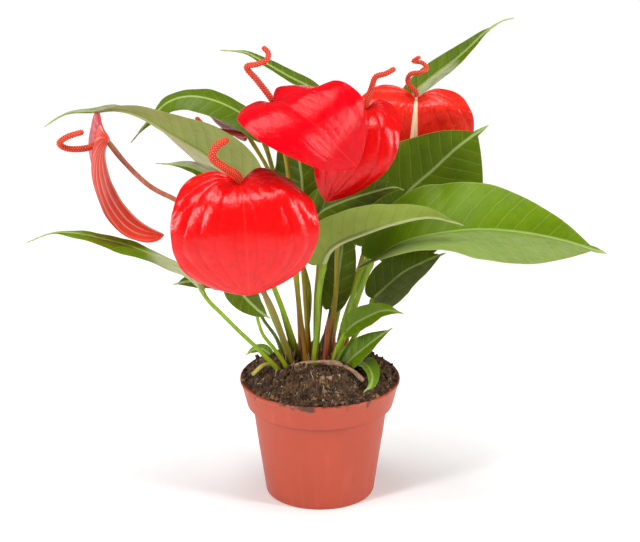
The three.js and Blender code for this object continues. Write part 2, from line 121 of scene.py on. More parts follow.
class Shades:
    """A shader tree being laid out; each call adds one node and gives back its output."""

    def __init__(self, tree):
        self.tree = tree

    def feed(self, sockets, values):
        """Each socket gets a constant, or is fed from another node; colours are given as RGB."""
        for key, value in values.items():
            socket = sockets[key.replace("_", " ") if isinstance(key, str) else key]
            if isinstance(value, bpy.types.NodeSocket):
                self.tree.links.new(value, socket)
            else:
                socket.default_value = (*value, 1) if socket.type == "RGBA" else value

    def put(self, kind, inputs, out=0, **settings):
        made = self.tree.nodes.new("ShaderNode" + kind)
        for key, value in settings.items():
            setattr(made, key, value)
        self.feed(made.inputs, inputs)
        return made.outputs[out]

    def group(self, group, **inputs):
        made = self.tree.nodes.new("ShaderNodeGroup")
        made.node_tree = group.tree
        self.feed(made.inputs, inputs)
        return made.outputs

    def sums(self, operation, first, second=0.0, third=0.0):
        return self.put("Math", {0: first, 1: second, 2: third}, operation=operation)

    plus = partialmethod(sums, "ADD")
    minus = partialmethod(sums, "SUBTRACT")
    times = partialmethod(sums, "MULTIPLY")
    scaled = partialmethod(sums, "MULTIPLY_ADD")
    larger = partialmethod(sums, "MAXIMUM")
    size = partialmethod(sums, "ABSOLUTE")

    def from_whole(self, value):
        """How far a number is from the nearest whole one."""
        return self.size(self.minus(self.sums("FRACT", self.plus(value, 0.5)), 0.5))

    def held(self, value):
        return self.put("Clamp", {"Value": value})

    def blend(self, share, low, high):
        return self.put("Mix", {0: share, 6: low, 7: high}, 2, data_type="RGBA")

    def ramp(self, value, low, high, start=0.0, end=1.0):
        """The value carried smoothly from its low..high range to start..end."""
        asked = {"Value": value, "From Min": low, "From Max": high, "To Min": start, "To Max": end}
        return self.put("MapRange", asked, interpolation_type="SMOOTHSTEP")

    def place(self):
        return self.put("TexCoord", {}, "Object")

    def mark(self, name, out="Fac"):
        """A number, or with Vector three of them, kept on the piece's points."""
        return self.put("Attribute", {}, out, attribute_name=name)

    def part(self, vector, axis):
        return self.put("SeparateXYZ", {0: vector}, axis)

    def length(self, vector):
        return self.put("VectorMath", {0: vector}, "Value", operation="LENGTH")

    def stretch(self, vector, by):
        return self.put("Mapping", {"Vector": vector, "Scale": by})

    def noise(self, place, scale, detail, roughness=0.5):
        asked = {"Vector": place, "Scale": scale, "Detail": detail, "Roughness": roughness}
        return self.put("TexNoise", asked)

    def cells(self, place, scale, feature="DISTANCE_TO_EDGE"):
        return self.put("TexVoronoi", {"Vector": place, "Scale": scale}, "Distance", feature=feature)

    def mottled(self, place, scale, detail, contrast, low, high):
        """The mottled tone group, laid over a place."""
        return self.group(mottle, Place=place, Scale=scale, Detail=detail, Contrast=contrast,
                          Low_Tone=low, High_Tone=high)


class Group(Shades):
    """An empty shader node group with named inputs and outputs."""

    def __init__(self, name, takes, gives):
        super().__init__(bpy.data.node_groups.new(name, "ShaderNodeTree"))
        for way, sockets in (("INPUT", takes), ("OUTPUT", gives)):
            for label, kind in sockets.items():
                self.tree.interface.new_socket(name=label, in_out=way, socket_type="NodeSocket" + kind)
        self.taken = self.tree.nodes.new("NodeGroupInput").outputs
        self.given = self.tree.nodes.new("NodeGroupOutput").inputs


class Finish(Shades):
    """A bare material, laid out up to the sockets of its Principled shader."""

    def __init__(self, name):
        self.material = bpy.data.materials.new(name)
        self.material.use_nodes = True
        super().__init__(self.material.node_tree)
        self.shader = self.tree.nodes["Principled BSDF"]

    def end(self, **values):
        self.feed(self.shader.inputs, values)

    def relief(self, height, strength, depth_mm):
        """Feeds a height into the shader's normal."""
        self.end(Normal=self.put("Bump", {"Strength": strength, "Distance": depth_mm * MM, "Height": height}))


# Two tones of one colour that drift into each other, used by nearly every surface.
mottle = Group("mottled tone",
               {"Place": "Vector", "Scale": "Float", "Detail": "Float", "Low Tone": "Color",
                "High Tone": "Color", "Contrast": "Float"},
               {"Tone": "Color", "Drift": "Float"})
taken = mottle.taken
clouds = mottle.noise(taken["Place"], taken["Scale"], taken["Detail"], 0.6)
drift = mottle.held(mottle.scaled(mottle.minus(clouds, 0.5), taken["Contrast"], 0.5))
drifting = mottle.blend(drift, taken["Low Tone"], taken["High Tone"])
mottle.feed(mottle.given, {"Tone": drifting, "Drift": drift})

POT_SIDES = 144
DRAIN_HOLES, DRAIN_RADIUS, DRAIN_RING = 8, 4, 30
# Height of the ring of painted shade under the collar.
COLLAR_SHADE_HEIGHT = 0.0708
pot_profile = [
    (0, 0), (12, 0), (26, 0), (34, 0), (39.2, 0), (40.2, 0.3), (40.8, 0.9), (41.1, 1.8), (44.2, 24),
    (47.4, 46), (50.4, 68.5), (50.7, 70.2), (51.2, 70.9), (52.4, 71.0), (53.8, 71.0), (54.5, 71.15),
    (54.9, 71.7), (55.1, 72.6), (56.9, 79.5), (58.9, 88.2), (59.15, 89.1), (59.6, 89.5), (60.0, 89.9),
    (60.1, 90.6), (60.0, 91.3), (59.6, 91.8), (59.0, 92.0), (58.3, 91.9), (57.8, 91.5), (57.5, 90.8),
    (57.2, 88.5), (55.4, 80.5), (53.6, 73.5), (52.5, 72.4), (50.3, 71.6), (49.3, 70.4), (48.6, 64),
    (45.8, 44), (42.6, 22), (40.0, 4), (39.0, 2.3), (37.5, 2), (26, 2), (12, 2), (0, 2)]
pot = piece_from("pot_shell", *lathe(pot_profile, POT_SIDES))
drills = []
for hole in range(DRAIN_HOLES):
    turn = (hole + 0.5) / DRAIN_HOLES * 2 * math.pi
    points, faces = lathe([(0, -4), (DRAIN_RADIUS, -4), (DRAIN_RADIUS, 6), (0, 6)], 28)
    drills.append(((points + [DRAIN_RING * math.cos(turn), DRAIN_RING * math.sin(turn), 0], faces), 0))
drill = piece_from("drill", *heap(drills)[:2])
cut = pot.modifiers.new("drainage", "BOOLEAN")
cut.operation, cut.solver, cut.object = "DIFFERENCE", "EXACT", drill
drilled = bpy.data.meshes.new_from_object(pot.evaluated_get(bpy.context.evaluated_depsgraph_get()))
pot.modifiers.clear()
pot.data = drilled
pot.data.set_sharp_from_angle(angle=math.radians(38))
bpy.data.objects.remove(drill)

clay = Finish("moulded_terracotta_plastic")
where = clay.place()
height = clay.part(where, 2)
tone = clay.mottled(where, 34.0, 5.0, 1.3, (0.41, 0.045, 0.015), (0.49, 0.062, 0.020))
flow = clay.noise(clay.stretch(where, (1, 1, 0.06)), 160.0, 3.0)
scuffs = clay.times(clay.ramp(flow, 0.55, 0.75), 0.08)
worn = clay.blend(scuffs, tone["Tone"], (0.75, 0.26, 0.16))
near_lip = clay.times(clay.ramp(height, 0.070, 0.0925), 0.23)
smear = clay.plus(clay.noise(where, 70.0, 8.0, 0.72), near_lip)
dirt = clay.ramp(smear, 0.745, 0.82)
dusty = clay.blend(clay.times(clay.ramp(smear, 0.62, 0.86), 0.25), worn, (0.30, 0.13, 0.07))
soiled = clay.blend(clay.times(dirt, 0.85), dusty, (0.05, 0.028, 0.016))
# A thin dark ring at the foot of the collar is painted shade: the shadow that the collar's step casts on the
# wall just below it.
collar_shade = clay.ramp(clay.size(clay.minus(height, COLLAR_SHADE_HEIGHT)), 0.0003, 0.0013, 0.75, 0.0)
skin = clay.times(clay.noise(where, 900.0, 2.0), 0.3)
clay.relief(clay.plus(skin, dirt), 0.3, 0.25)
clay.end(Base_Color=clay.blend(collar_shade, soiled, (0.10, 0.018, 0.010)),
         Roughness=clay.ramp(clay.plus(tone["Drift"], dirt), 0.0, 1.6, 0.34, 0.75),
         Subsurface_Weight=0.06, Subsurface_Scale=0.004)
settle(pot, clay, "terracotta_plastic", "pot")

# ---- Soil ----
# Moist peat potting soil heaped around the crown. It is loose and fibrous: crumbs, rootlets and
# pale specks lie all over it, and a matted clump of old root ball stands up at the front.
SOIL_RINGS, SOIL_SIDES = 110, 300
SOIL_TOP, SOIL_RIM = 104.0, 91.8
SOIL_EDGE = 59.3


def soil_height(x, y):
    """Height of the soil's surface in millimetres."""
    radius = math.hypot(x, y)
    climb = min(max((SOIL_EDGE - radius) / 29, 0), 1)
    climb = climb * climb * (3 - 2 * climb)
    level = SOIL_RIM + (SOIL_TOP - SOIL_RIM) * climb
    clump = math.exp(-(((x - 4) / 25) ** 2 + ((y + 29) / 14) ** 2) ** 2)
    calm = min(max((radius - 8) / 14, 0.1), 1) * min(max((SOIL_EDGE - radius) / 8, 0.12), 1)
    lumps = noise.fractal(Vector((x * 0.065, y * 0.065, 0.3)), 0.8, 2.1, 6) * 3.6
    grit = noise.fractal(Vector((x * 0.30, y * 0.30, 4.0)), 0.6, 2.2, 5) * 1.7
    banks = 3.2 * math.exp(-(((x + 45) / 12) ** 2 + ((y + 4) / 26) ** 2))
    banks += 2.6 * math.exp(-(((x - 46) / 12) ** 2 + ((y + 2) / 24) ** 2))
    return level + (lumps + banks + 4.4 * clump) * calm + grit * (0.2 + 0.8 * calm)


soil_points = []
soil_wall = [(37.0, 2.6), (41.5, 24), (45.2, 46), (47.6, 64), (51.8, 74), (55.2, 84), (56.4, 88.6),
             (56.9, 91.2), (57.3, 92.3)]
for radius, z in soil_wall:
    for side in range(SOIL_SIDES):
        turn = side / SOIL_SIDES * 2 * math.pi
        soil_points.append((radius * math.cos(turn), radius * math.sin(turn), z))
for ring in range(SOIL_RINGS + 1):
    share = (1 - ring / SOIL_RINGS) ** 0.62
    for side in range(SOIL_SIDES):
        turn = side / SOIL_SIDES * 2 * math.pi
        ragged = noise.fractal(Vector((3 * math.cos(turn), 3 * math.sin(turn), 7.0)), 0.5, 2.3, 5)
        front = max(0.0, -math.sin(turn)) ** 2
        reach = 58.9 + 0.9 * ragged - 1.0 * front
        radius = min(max(reach, 57.5), 60.2) * share + 0.8 * (1 - share)
        x, y = radius * math.cos(turn), radius * math.sin(turn)
        z = soil_height(x, y)
        soil_points.append((x, y, max(z, 92.35) if radius > 56.5 else z))
soil_points = np.array(soil_points + [(0, 0, 2.6), (0, 0, soil_height(0, 0))])
soil_faces = capped_rings(len(soil_wall) + SOIL_RINGS + 1, SOIL_SIDES)
soil_marks = {"tone": np.full(len(soil_points), 0.12)}
soil = piece_from("soil_bed", soil_points, soil_faces, soil_marks, crease=60)

peat = Finish("moist_peat")
where = peat.place()
tone_mark = peat.mark("tone")
earth = peat.mottled(where, 230.0, 9.0, 6.0, (0.003, 0.0015, 0.001), (0.115, 0.047, 0.017))
wave = {"Vector": where, "Scale": 160.0, "Distortion": 22.0, "Detail": 4.0, "Detail Scale": 1.6}
strands = peat.put("TexWave", wave, "Fac")
fibrous = peat.blend(peat.times(peat.ramp(strands, 0.86, 0.98), 0.6), earth["Tone"], (0.26, 0.14, 0.07))
lit = peat.blend(tone_mark, fibrous, (0.44, 0.25, 0.105))
peat.end(Base_Color=peat.blend(peat.ramp(tone_mark, 0.9, 1.0), lit, (0.72, 0.66, 0.55)),
         Roughness=peat.ramp(earth["Drift"], 0.2, 0.8, 0.62, 0.95))
peat.relief(peat.plus(earth["Drift"], strands), 0.9, 0.7)
settle(soil, peat, "peat", "soil")

luck = np.random.default_rng(20)


def on_soil(low=20.0, high=56.0, front=0.0):
    """A spot on the soil's surface outside the crown; front leans the choice towards -Y."""
    radius = math.sqrt(luck.uniform(low ** 2, high ** 2))
    turn = luck.uniform(0, 2 * math.pi) if luck.random() > front else luck.normal(-math.pi / 2, 0.8)
    x, y = radius * math.cos(turn), radius * math.sin(turn)
    return x, y, soil_height(x, y)


def crumb(x, y, z, size, rough=0.35):
    """A knobbly lump of peat as a small warped ball."""
    rows, sides = 5, 8
    t, a = np.meshgrid(np.linspace(0.12, np.pi - 0.12, rows), around(sides), indexing="ij")
    ball = np.stack([np.sin(t) * np.cos(a), np.sin(t) * np.sin(a), np.cos(t)], -1).reshape(-1, 3)
    ball *= size * (1 + rough * luck.standard_normal((len(ball), 1)))
    ball *= luck.uniform(0.6, 1.2, 3)
    ball = np.concatenate([ball, [[0, 0, size * 0.8], [0, 0, -size * 0.8]]])
    faces = grid_faces(rows, sides, wrap=True, flip=True)
    faces += fan_faces(list(range(sides)), rows * sides)
    faces += fan_faces(list(range((rows - 1) * sides, rows * sides)), rows * sides + 1, flip=True)
    return ball + [x, y, z + size * 0.15], faces


LOOSE_CRUMBS, PALE_SPECKS, WHITISH_LUMPS = 2100, 80, 14
crumbs = []
for _ in range(LOOSE_CRUMBS):
    size = 0.3 + 1.7 * luck.random() ** 3
    x, y, z = on_soil(12, 59.6, 0.3)
    z = max(z, 92.2 + 0.5 * size) if math.hypot(x, y) > 56.5 else z
    body = crumb(x, y, z, size)
    crumbs.append((body, luck.choice([0.0, 0.08, 0.3, 0.75], p=[0.55, 0.22, 0.13, 0.1])))
for _ in range(PALE_SPECKS):
    x, y, z = on_soil(18, 55.5, 0.5)
    crumbs.append((crumb(x, y, z, luck.uniform(0.3, 0.7), 0.2), 1.0))
for _ in range(WHITISH_LUMPS):
    x, y = 2 + luck.normal(0, 3.2), -39 + luck.normal(0, 2.4)
    crumbs.append((crumb(x, y, soil_height(x, y), luck.uniform(0.8, 1.7), 0.3), luck.choice([0.75, 0.93])))
settle(piece_from("soil_crumbs", *heap(crumbs), crease=70), peat, "peat")


def between(share, places, points):
    """Points read between the given ones, at shares on the scale of their places."""
    return np.stack([np.interp(share, places, points[:, k]) for k in range(3)], -1)


def unit(ways):
    return ways / np.linalg.norm(ways, axis=-1, keepdims=True)


def smooth_path(points, steps=48):
    """A centripetal spline through the points at equal steps of length, and its whole length."""
    marks = np.asarray(points, float)
    ends = np.concatenate([[2 * marks[0] - marks[1]], marks, [2 * marks[-1] - marks[-2]]])
    curve = []
    for a, b, c, d in zip(ends, ends[1:], ends[2:], ends[3:]):
        s, t, u = (max(np.linalg.norm(q - p), 1e-6) ** 0.5 for p, q in ((a, b), (b, c), (c, d)))
        leave = ((b - a) / s - (c - a) / (s + t) + (c - b) / t) * t
        arrive = ((c - b) / t - (d - b) / (t + u) + (d - c) / u) * t
        w = np.linspace(0, 1, steps, endpoint=False)[:, None]
        curve.append(b + leave * w + (3 * (c - b) - 2 * leave - arrive) * w ** 2
                     + (2 * (b - c) + leave + arrive) * w ** 3)
    curve = np.concatenate(curve + [marks[-1:]])
    reach = np.concatenate([[0], np.cumsum(np.linalg.norm(np.diff(curve, axis=0), axis=1))])
    return between(np.linspace(0, reach[-1], 401), reach, curve), reach[-1]


def along_path(curve, share):
    """Points and unit directions of an even curve at shares 0 to 1 of its length."""
    place = np.linspace(0, 1, len(curve))
    return between(share, place, curve), unit(between(share, place, np.gradient(curve, axis=0)))


def tube(points, radius_at, sides, rows, lobes=None):
    """A closed round stem along a path. radius_at gives millimetres at a share of the length."""
    curve, length = smooth_path(points)
    share = np.linspace(0, 1, rows)
    centre, way = along_path(curve, share)
    normals = [unit(np.cross(way[0], [0.3, 1.0, 0.1]))]
    for heading in way[1:]:
        normals.append(unit(normals[-1] - heading * (normals[-1] @ heading)))
    normals = np.array(normals)
    cross = np.cross(way, normals)
    s, a = np.meshgrid(share, around(sides), indexing="ij")
    radius = np.broadcast_to(radius_at(share)[:, None], s.shape).copy()
    if lobes is not None:
        radius = radius + lobes(s * length, a)
    rings = (centre[:, None] + normals[:, None] * (np.cos(a) * radius)[..., None]
             + cross[:, None] * (np.sin(a) * radius)[..., None])
    body = np.concatenate([rings.reshape(-1, 3), centre[:1], centre[-1:]])
    flat = np.stack([a * 2, s * length, s * 0], -1).reshape(-1, 3)
    flat = np.append(flat, [[0, 0, 0], [0, length, 0]], axis=0)
    return body, capped_rings(rows, sides), {"along": np.append(s.ravel(), [0, 1]), "flat": flat}


def rootlet(low, high, reach, thick, front):
    """A fine root that wanders over the soil and dips into it at both ends."""
    x, y, _ = on_soil(low, high, front)
    heading = luck.uniform(0, 2 * math.pi)
    path = []
    steps = 7
    for step in range(steps):
        lift = 0.6 * math.sin(math.pi * step / (steps - 1)) * luck.uniform(0.5, 2.2) - 0.2
        path.append((x, y, soil_height(x, y) + lift))
        heading += luck.normal(0, 0.55)
        x += reach / steps * math.cos(heading)
        y += reach / steps * math.sin(heading)
        away = math.hypot(x, y)
        if away > 57:
            x, y = x * 57 / away, y * 57 / away
    body, faces, _ = tube(path, lambda s: thick * (1 - 0.6 * s), 5, 20)
    return body, faces


rootlets = []
for count, low, high, lengths, widths, front, tones in [
        (420, 16, 56, (4, 20), (0.12, 0.3), 0.5, [0.1, 0.45, 0.8]),
        (40, 20, 54, (3, 8), (0.35, 0.6), 0.4, [0.15, 0.45]),
        (50, 24, 54, (6, 16), (0.16, 0.32), 0.9, None)]:
    for _ in range(count):
        body = rootlet(low, high, luck.uniform(*lengths), luck.uniform(*widths), front)
        rootlets.append((body, luck.choice(tones) if tones else 0.97))
settle(piece_from("soil_rootlets", *heap(rootlets), crease=80), peat, "peat")

# ---- Leaf stalks ----
# Petioles are round, firm and waxy. They rise from the crown, widest at the foot, and end in the
# short swollen joint that turns the blade to the light. Young ones are green, old ones olive.
SKIN_LEVEL = 101.5


def stalk_finish(name, low, high, blush, blush_end=0.32):
    """Waxy stalk skin: long streaks between two greens, a blush at the foot and corky flecks."""
    wax = Finish(name)
    along = wax.mark("along")
    drawn = wax.stretch(wax.place(), (1, 1, 0.12))
    skin = wax.mottled(drawn, 420.0, 5.0, 1.8, low, high)
    foot = wax.ramp(along, blush_end * 0.3, blush_end, 0.75, 0.0)
    top = wax.ramp(along, 0.93, 1.0, 0.0, 0.35)
    warmed = wax.blend(wax.larger(foot, top), skin["Tone"], blush)
    flecks = wax.cells(wax.mark("flat", "Vector"), 0.55, "F1")
    wax.end(Base_Color=wax.blend(wax.ramp(flecks, 0.05, 0.14, 0.45, 0.0), warmed, (0.16, 0.12, 0.05)),
            Roughness=wax.ramp(skin["Drift"], 0.0, 1.0, 0.30, 0.50),
            Subsurface_Weight=0.08, Subsurface_Scale=0.003, Specular_IOR_Level=0.3)
    wax.relief(skin["Drift"], 0.35, 0.25)
    return wax


petiole_green = stalk_finish("petiole_green", (0.14, 0.26, 0.002), (0.30, 0.43, 0.010), (0.25, 0.27, 0.006))
petiole_olive = stalk_finish("petiole_olive", (0.20, 0.18, 0.002), (0.38, 0.32, 0.010), (0.30, 0.10, 0.006))
petiole_dark = stalk_finish("petiole_dark", (0.04, 0.08, 0.004), (0.14, 0.20, 0.012), (0.13, 0.09, 0.01))


def grow_stalk(name, path, foot, top, finish, slot, node, joint=0.3):
    """A stalk from under the soil's skin, with a flared foot and a swollen joint at its top."""
    path = [(path[0][0], path[0][1], SKIN_LEVEL)] + path[1:]

    def radius_at(s):
        base = foot + (top - foot) * np.clip(s / 0.5, 0, 1) ** 0.7
        swell = 1 + 0.35 * np.exp(-s / 0.035) + joint * np.exp(-(((s - 0.955) / 0.028) ** 2))
        return base * swell

    body = tube(path, radius_at, 18, 84, lambda s, a: 0.05 * np.cos(5 * a + s * 0.05))
    settle(piece_from(name, *body, crease=60), finish, slot, node)


petioles = dict(
    right_long=([(10, -8), (16, -9, 123), (23, -10, 143), (30, -12, 166), (38, -14, 189)], 2.6, 2,
        petiole_green),
    right_back=([(12, 5), (18, 9, 132), (28, 14, 161), (39, 20, 188)], 2.4, 1.9, petiole_green),
    right_spear=([(7, 22), (19, 45, 152), (34, 66, 204), (50, 74, 250), (64, 75, 284)], 2.2, 1.6,
        petiole_green),
    front_arching=([(-5, -12), (-2, -11, 137), (-1, -13, 160), (3, -19, 189)], 2.5, 2, petiole_green),
    centre_dark=([(-3, 6), (-3, 12, 148), (-1, 10, 185), (-5, 7, 210)], 2.2, 1.7, petiole_olive),
    right_low=([(18, 5), (25, 10, 118), (32, 13, 129), (40, 14, 149)], 2.2, 1.7, petiole_green),
    small_right=([(8, -18), (12, -19, 122), (19, -21, 136)], 1.5, 1.1, petiole_green),
    left_long=([(-24, 4), (-28, 2, 121), (-35, -1, 141), (-42, -6, 164), (-48, -11, 205), (-54, -16, 245)],
        2.4, 1.9, petiole_green),
    left_back=([(-14, 17), (-17, 22, 152), (-26, 28, 205), (-36, 31, 248), (-43, 30, 273)], 2.3, 1.7,
        petiole_olive),
    top_slender=([(-3, 25), (2, 40, 154), (6, 52, 214), (9, 56, 268), (5, 56, 290)], 1.9, 1.3,
        petiole_dark),
    left_narrow=([(-19, 11), (-33, -1, 162), (-46, -18, 203), (-59, -30, 235)], 1.9, 1.3, petiole_green),
    left_low=([(-30, -14), (-46, -22, 123), (-59, -26, 138), (-72, -28, 153), (-82, -28, 164),
        (-88, -28, 175)], 1.9, 1.5, petiole_green),
    left_hanging=([(-23, -13), (-33, -18, 120), (-42, -24, 135), (-45, -28, 146), (-48, -29, 161),
        (-55, -30, 181)], 1.8, 1.2, petiole_green),
    left_short=([(-26, -5), (-32, -4, 123), (-42, -2, 138), (-49, -1, 152), (-60, -2, 166)], 1.8, 1.2,
        petiole_dark),
    centre_back=([(0, 17), (5, 19, 122), (9, 24, 138)], 2.2, 1.6, petiole_dark),
    behind_flowers=([(-8, 13), (-11, 15, 148), (-13, 16, 180), (-14, 18, 212)], 2.3, 1.7, petiole_olive),
)
for name, stalk in petioles.items():
    grow_stalk("leafstalk_" + name, *stalk, "petiole", "petiole_" + name)

# ---- Leaf blades ----
# Each blade is one thin leathery sheet, folded along a sunken midrib that stands proud beneath,
# with side veins that sweep to the margin and a waxy upper face. The underside is pale and dull.
LEAF_SKIN = 0.45


def of_side(value, side):
    """One number, or the first or second of a pair on the blade's two halves."""
    low, high = value if isinstance(value, tuple) else (value, value)
    return np.where(side < 0, float(low), float(high))


def outline(spec, share, side):
    """Half the blade's width at a share of its length, as a part of its widest half."""
    shape = ("belly", "shoulder", "bulge", "taper")
    belly, shoulder, bulge, taper = (of_side(spec[key], side) for key in shape)
    body = np.clip(share / (1 - spec["drip"]), 0, 1)
    back = np.clip(1 - body / belly, 0, 1)
    ahead = np.clip((body - belly) / (1 - belly), 0, 1)
    rising = shoulder + (1 - shoulder) * (1 - back ** 2) ** spec["rise"]
    whip = 0.05 * np.clip((1 - share) / max(spec["drip"], 0.01), 0, 1) ** 0.7
    return np.maximum(np.where(body < belly, rising, (1 - ahead ** bulge) ** taper), whip)


def blade_sheet(spec, columns, rows):
    """The blade's middle surface as a grid: points, side, share and flat place of each point."""
    curve, length = smooth_path(spec["rib"])
    reach = np.linspace(-1, 1, columns)
    side = np.sign(reach) * np.abs(reach) ** 1.35
    share = (1 - np.cos(np.linspace(0, 1, rows) * np.pi)) / 2
    share, side = np.meshgrid(share, side, indexing="ij")
    fade = np.clip(1 - share / 0.5, 0, 1)
    lobe = of_side(spec["lobe"], side) * fade ** 2 * np.sin(np.abs(side) * np.pi / 2)
    across = np.maximum(of_side(spec["half"], side) * outline(spec, share, side), 0.25) * side
    along = share - lobe
    on_rib = np.clip(along, 0, 1)
    point, way = along_path(curve, on_rib)
    point = point + way * (np.minimum(along, 0) * length)[..., None]
    looks = unit(np.array(spec["faces"], float))
    sideways = unit(np.cross(way, between(on_rib, np.linspace(0, 1, len(looks)), looks)))
    normal = np.cross(sideways, way)
    angle = of_side(spec["fold"], side) + of_side(spec["curl"], side) * np.abs(side) * 0.5
    out, up = across * np.cos(angle), np.abs(across) * np.sin(angle)
    point = point + sideways * out[..., None] + normal * up[..., None]
    return point, side, share, across, along * length, length


def sheet_normals(point):
    """Unit normals of a grid of points."""
    normal = np.cross(np.gradient(point, axis=1), np.gradient(point, axis=0))
    size = np.linalg.norm(normal, axis=-1, keepdims=True)
    return normal / np.maximum(size, 1e-9)


def close_sheet(upper, lower):
    """Two matching grids joined round their edge into one closed body."""
    rows, columns = upper.shape[:2]
    count = rows * columns
    points = np.concatenate([upper.reshape(-1, 3), lower.reshape(-1, 3)])
    faces = grid_faces(rows, columns) + grid_faces(rows, columns, start=count, flip=True)
    index = np.arange(count).reshape(rows, columns)
    rim = np.concatenate([index[0, :-1], index[:-1, -1], index[-1, :0:-1], index[:0:-1, 0]])
    after = np.roll(rim, -1)
    faces += np.stack([rim, rim + count, after + count, after], -1).tolist()
    return points, faces


def vein_phase(across, along, spacing):
    """Counts the side veins from the base up; the two halves of the blade alternate."""
    away = np.abs(across)
    return (along - 0.62 * away - 0.0055 * away ** 2) / spacing + np.where(across < 0, 0.5, 0.0)


def settle_sheet(name, point, thick, keel, side, marks, finish, slot, node):
    """Closes a sheet's two faces into one body that carries its numbers on both of them."""
    normal = sheet_normals(point)
    upper = point + normal * (thick / 2)[..., None]
    lower = point - normal * (thick / 2 + keel)[..., None]
    marks = {mark: np.tile(np.ravel(values), 2) for mark, values in marks.items()}
    across, along = marks.pop("across"), marks.pop("along")
    marks["flat"] = np.stack([across, along, across * 0], -1)
    marks["upper"] = np.repeat([1.0, 0.0], side.size)
    settle(piece_from(name, *close_sheet(upper, lower), marks, crease=50), finish, slot, node)


def leaf_piece(name, spec, columns=49, rows=110):
    """One finished blade with its midrib, side veins, quilted skin and waved margin."""
    point, side, share, across, along, length = blade_sheet(spec, columns, rows)
    away = np.abs(across)
    seed = sum(map(ord, name))
    ripple = np.sin(share * spec["waves"] * 2 * np.pi + seed + np.where(side < 0, 1.7, 0.0))
    ripple += 0.4 * np.sin(share * spec["waves"] * 4.3 * np.pi + 2.2 * seed)
    lift = spec["wave"] * ripple * np.abs(side) ** 2.5 * np.sin(np.clip(share, 0, 1) * np.pi) ** 0.7
    phase = vein_phase(across, along, spec["spacing"])
    veins = np.cos(phase * 2 * np.pi) * 0.5 + 0.5
    body = np.clip(away / 3, 0, 1) * (1 - np.abs(side) ** 6)
    quilt = -0.30 * veins ** 2 * body - 0.55 * np.exp(-((away / 0.9) ** 2)) * (1 - 0.6 * share)
    point = point + sheet_normals(point) * (lift + quilt)[..., None]
    keel = (1.55 * (1 - share) ** 0.8 + 0.15) * np.exp(-((away / 1.25) ** 2)) + 0.20 * veins ** 8 * body
    thick = LEAF_SKIN * (1 - 0.55 * np.abs(side) ** 8)
    # Freshness from base to tip: the brighter green of young growth, and also painted light where light falls
    # on or through the blade and painted shade where it stands in shade.
    fresh = of_side(spec["fresh"], share * 0 - 1) * (1 - share) + of_side(spec["fresh"], share * 0) * share
    # Painted sheen: a pale reflection painted on the halves given for it, fading out past a share of the
    # blade's length.
    fade = np.clip((spec["painted_sheen_end"] - share) / 0.08, 0, 1)
    sheen = of_side(spec["sheen"], side) * np.clip(np.abs(side) * 6, 0, 1) * fade
    marks = {"across": across, "along": along, "side": side, "fresh": np.clip(fresh, 0, 1), "sheen": sheen,
             "phase": phase}
    settle_sheet("blade_" + name, point, thick, keel, side, marks, leaf, "leaf_blade", "leaf_" + name)


leaf = Finish("waxy_leaf")
flat = leaf.mark("flat", "Vector")
side, fresh, upper, sheen, phase = map(leaf.mark, ("side", "fresh", "upper", "sheen", "phase"))
away = leaf.size(leaf.part(flat, 0))
from_vein = leaf.from_whole(leaf.scaled(leaf.noise(flat, 0.10, 2.0), 0.16, phase))
vein = leaf.ramp(from_vein, 0.01, 0.08, 1.0, 0.0)
shoulder = leaf.ramp(from_vein, 0.05, 0.22, 1.0, 0.0)
net = leaf.ramp(leaf.cells(flat, 0.42), 0.0, 0.09, 0.6, 0.0)
fine_net = leaf.ramp(leaf.cells(flat, 1.1), 0.0, 0.12, 0.3, 0.0)
mesh_lines = leaf.plus(net, fine_net)
midrib = leaf.ramp(away, 0.5, 1.5, 1.0, 0.0)
streaky = leaf.noise(leaf.stretch(flat, (1.0, 0.12, 1.0)), 0.7, 4.0)
# The painted sheen lays pale streaks over the green, standing for the bright surround mirrored in the blade.
painted_sheen_streaks = leaf.times(sheen, leaf.ramp(streaky, 0.25, 0.7, 0.45, 1.0))
deep_green = leaf.mottled(flat, 0.045, 5.0, 1.6, (0.032, 0.058, 0.001), (0.078, 0.122, 0.001))
# The bright green stands partly for young growth and partly for painted light; the deep green for old growth
# and painted shade.
bright_green = leaf.mottled(flat, 0.04, 5.0, 1.8, (0.095, 0.185, 0.001), (0.160, 0.280, 0.002))
pale_green = leaf.mottled(flat, 0.06, 5.0, 1.2, (0.185, 0.250, 0.022), (0.300, 0.365, 0.070))
patchy = leaf.scaled(leaf.minus(deep_green["Drift"], 0.5), 0.22, fresh)
patchy = leaf.held(leaf.scaled(shoulder, -0.07, patchy))
top = leaf.blend(patchy, deep_green["Tone"], bright_green["Tone"])
margin = leaf.ramp(leaf.size(side), 0.972, 0.996, 0.0, 0.5)
for share, tone in [
        (leaf.scaled(vein, 0.13, leaf.times(mesh_lines, 0.07)), (0.40, 0.52, 0.10)),
        (painted_sheen_streaks, (0.55, 0.56, 0.40)),
        (leaf.times(midrib, 0.6), (0.42, 0.52, 0.17)),
        (margin, (0.36, 0.44, 0.12))]:
    top = leaf.blend(share, top, tone)
back = pale_green["Tone"]
for share, tone in [
        (leaf.scaled(vein, 0.25, leaf.times(mesh_lines, 0.12)), (0.11, 0.19, 0.03)),
        (painted_sheen_streaks, (0.72, 0.68, 0.58)),
        (leaf.times(midrib, 0.85), (0.44, 0.48, 0.22))]:
    back = leaf.blend(share, back, tone)
bloom = leaf.times(pale_green["Drift"], 0.12)
leaf.end(Base_Color=leaf.blend(upper, back, top),
         Roughness=leaf.plus(leaf.scaled(upper, -0.12, 0.42), bloom),
         Subsurface_Weight=0.08, Subsurface_Scale=0.002, Specular_IOR_Level=0.16)
height = leaf.scaled(vein, -0.35, leaf.times(mesh_lines, -0.3))
height = leaf.scaled(leaf.noise(flat, 2.2, 3.0), 0.25, height)
leaf.relief(leaf.times(height, leaf.scaled(upper, 2.0, -1.0)), 0.4, 0.35)
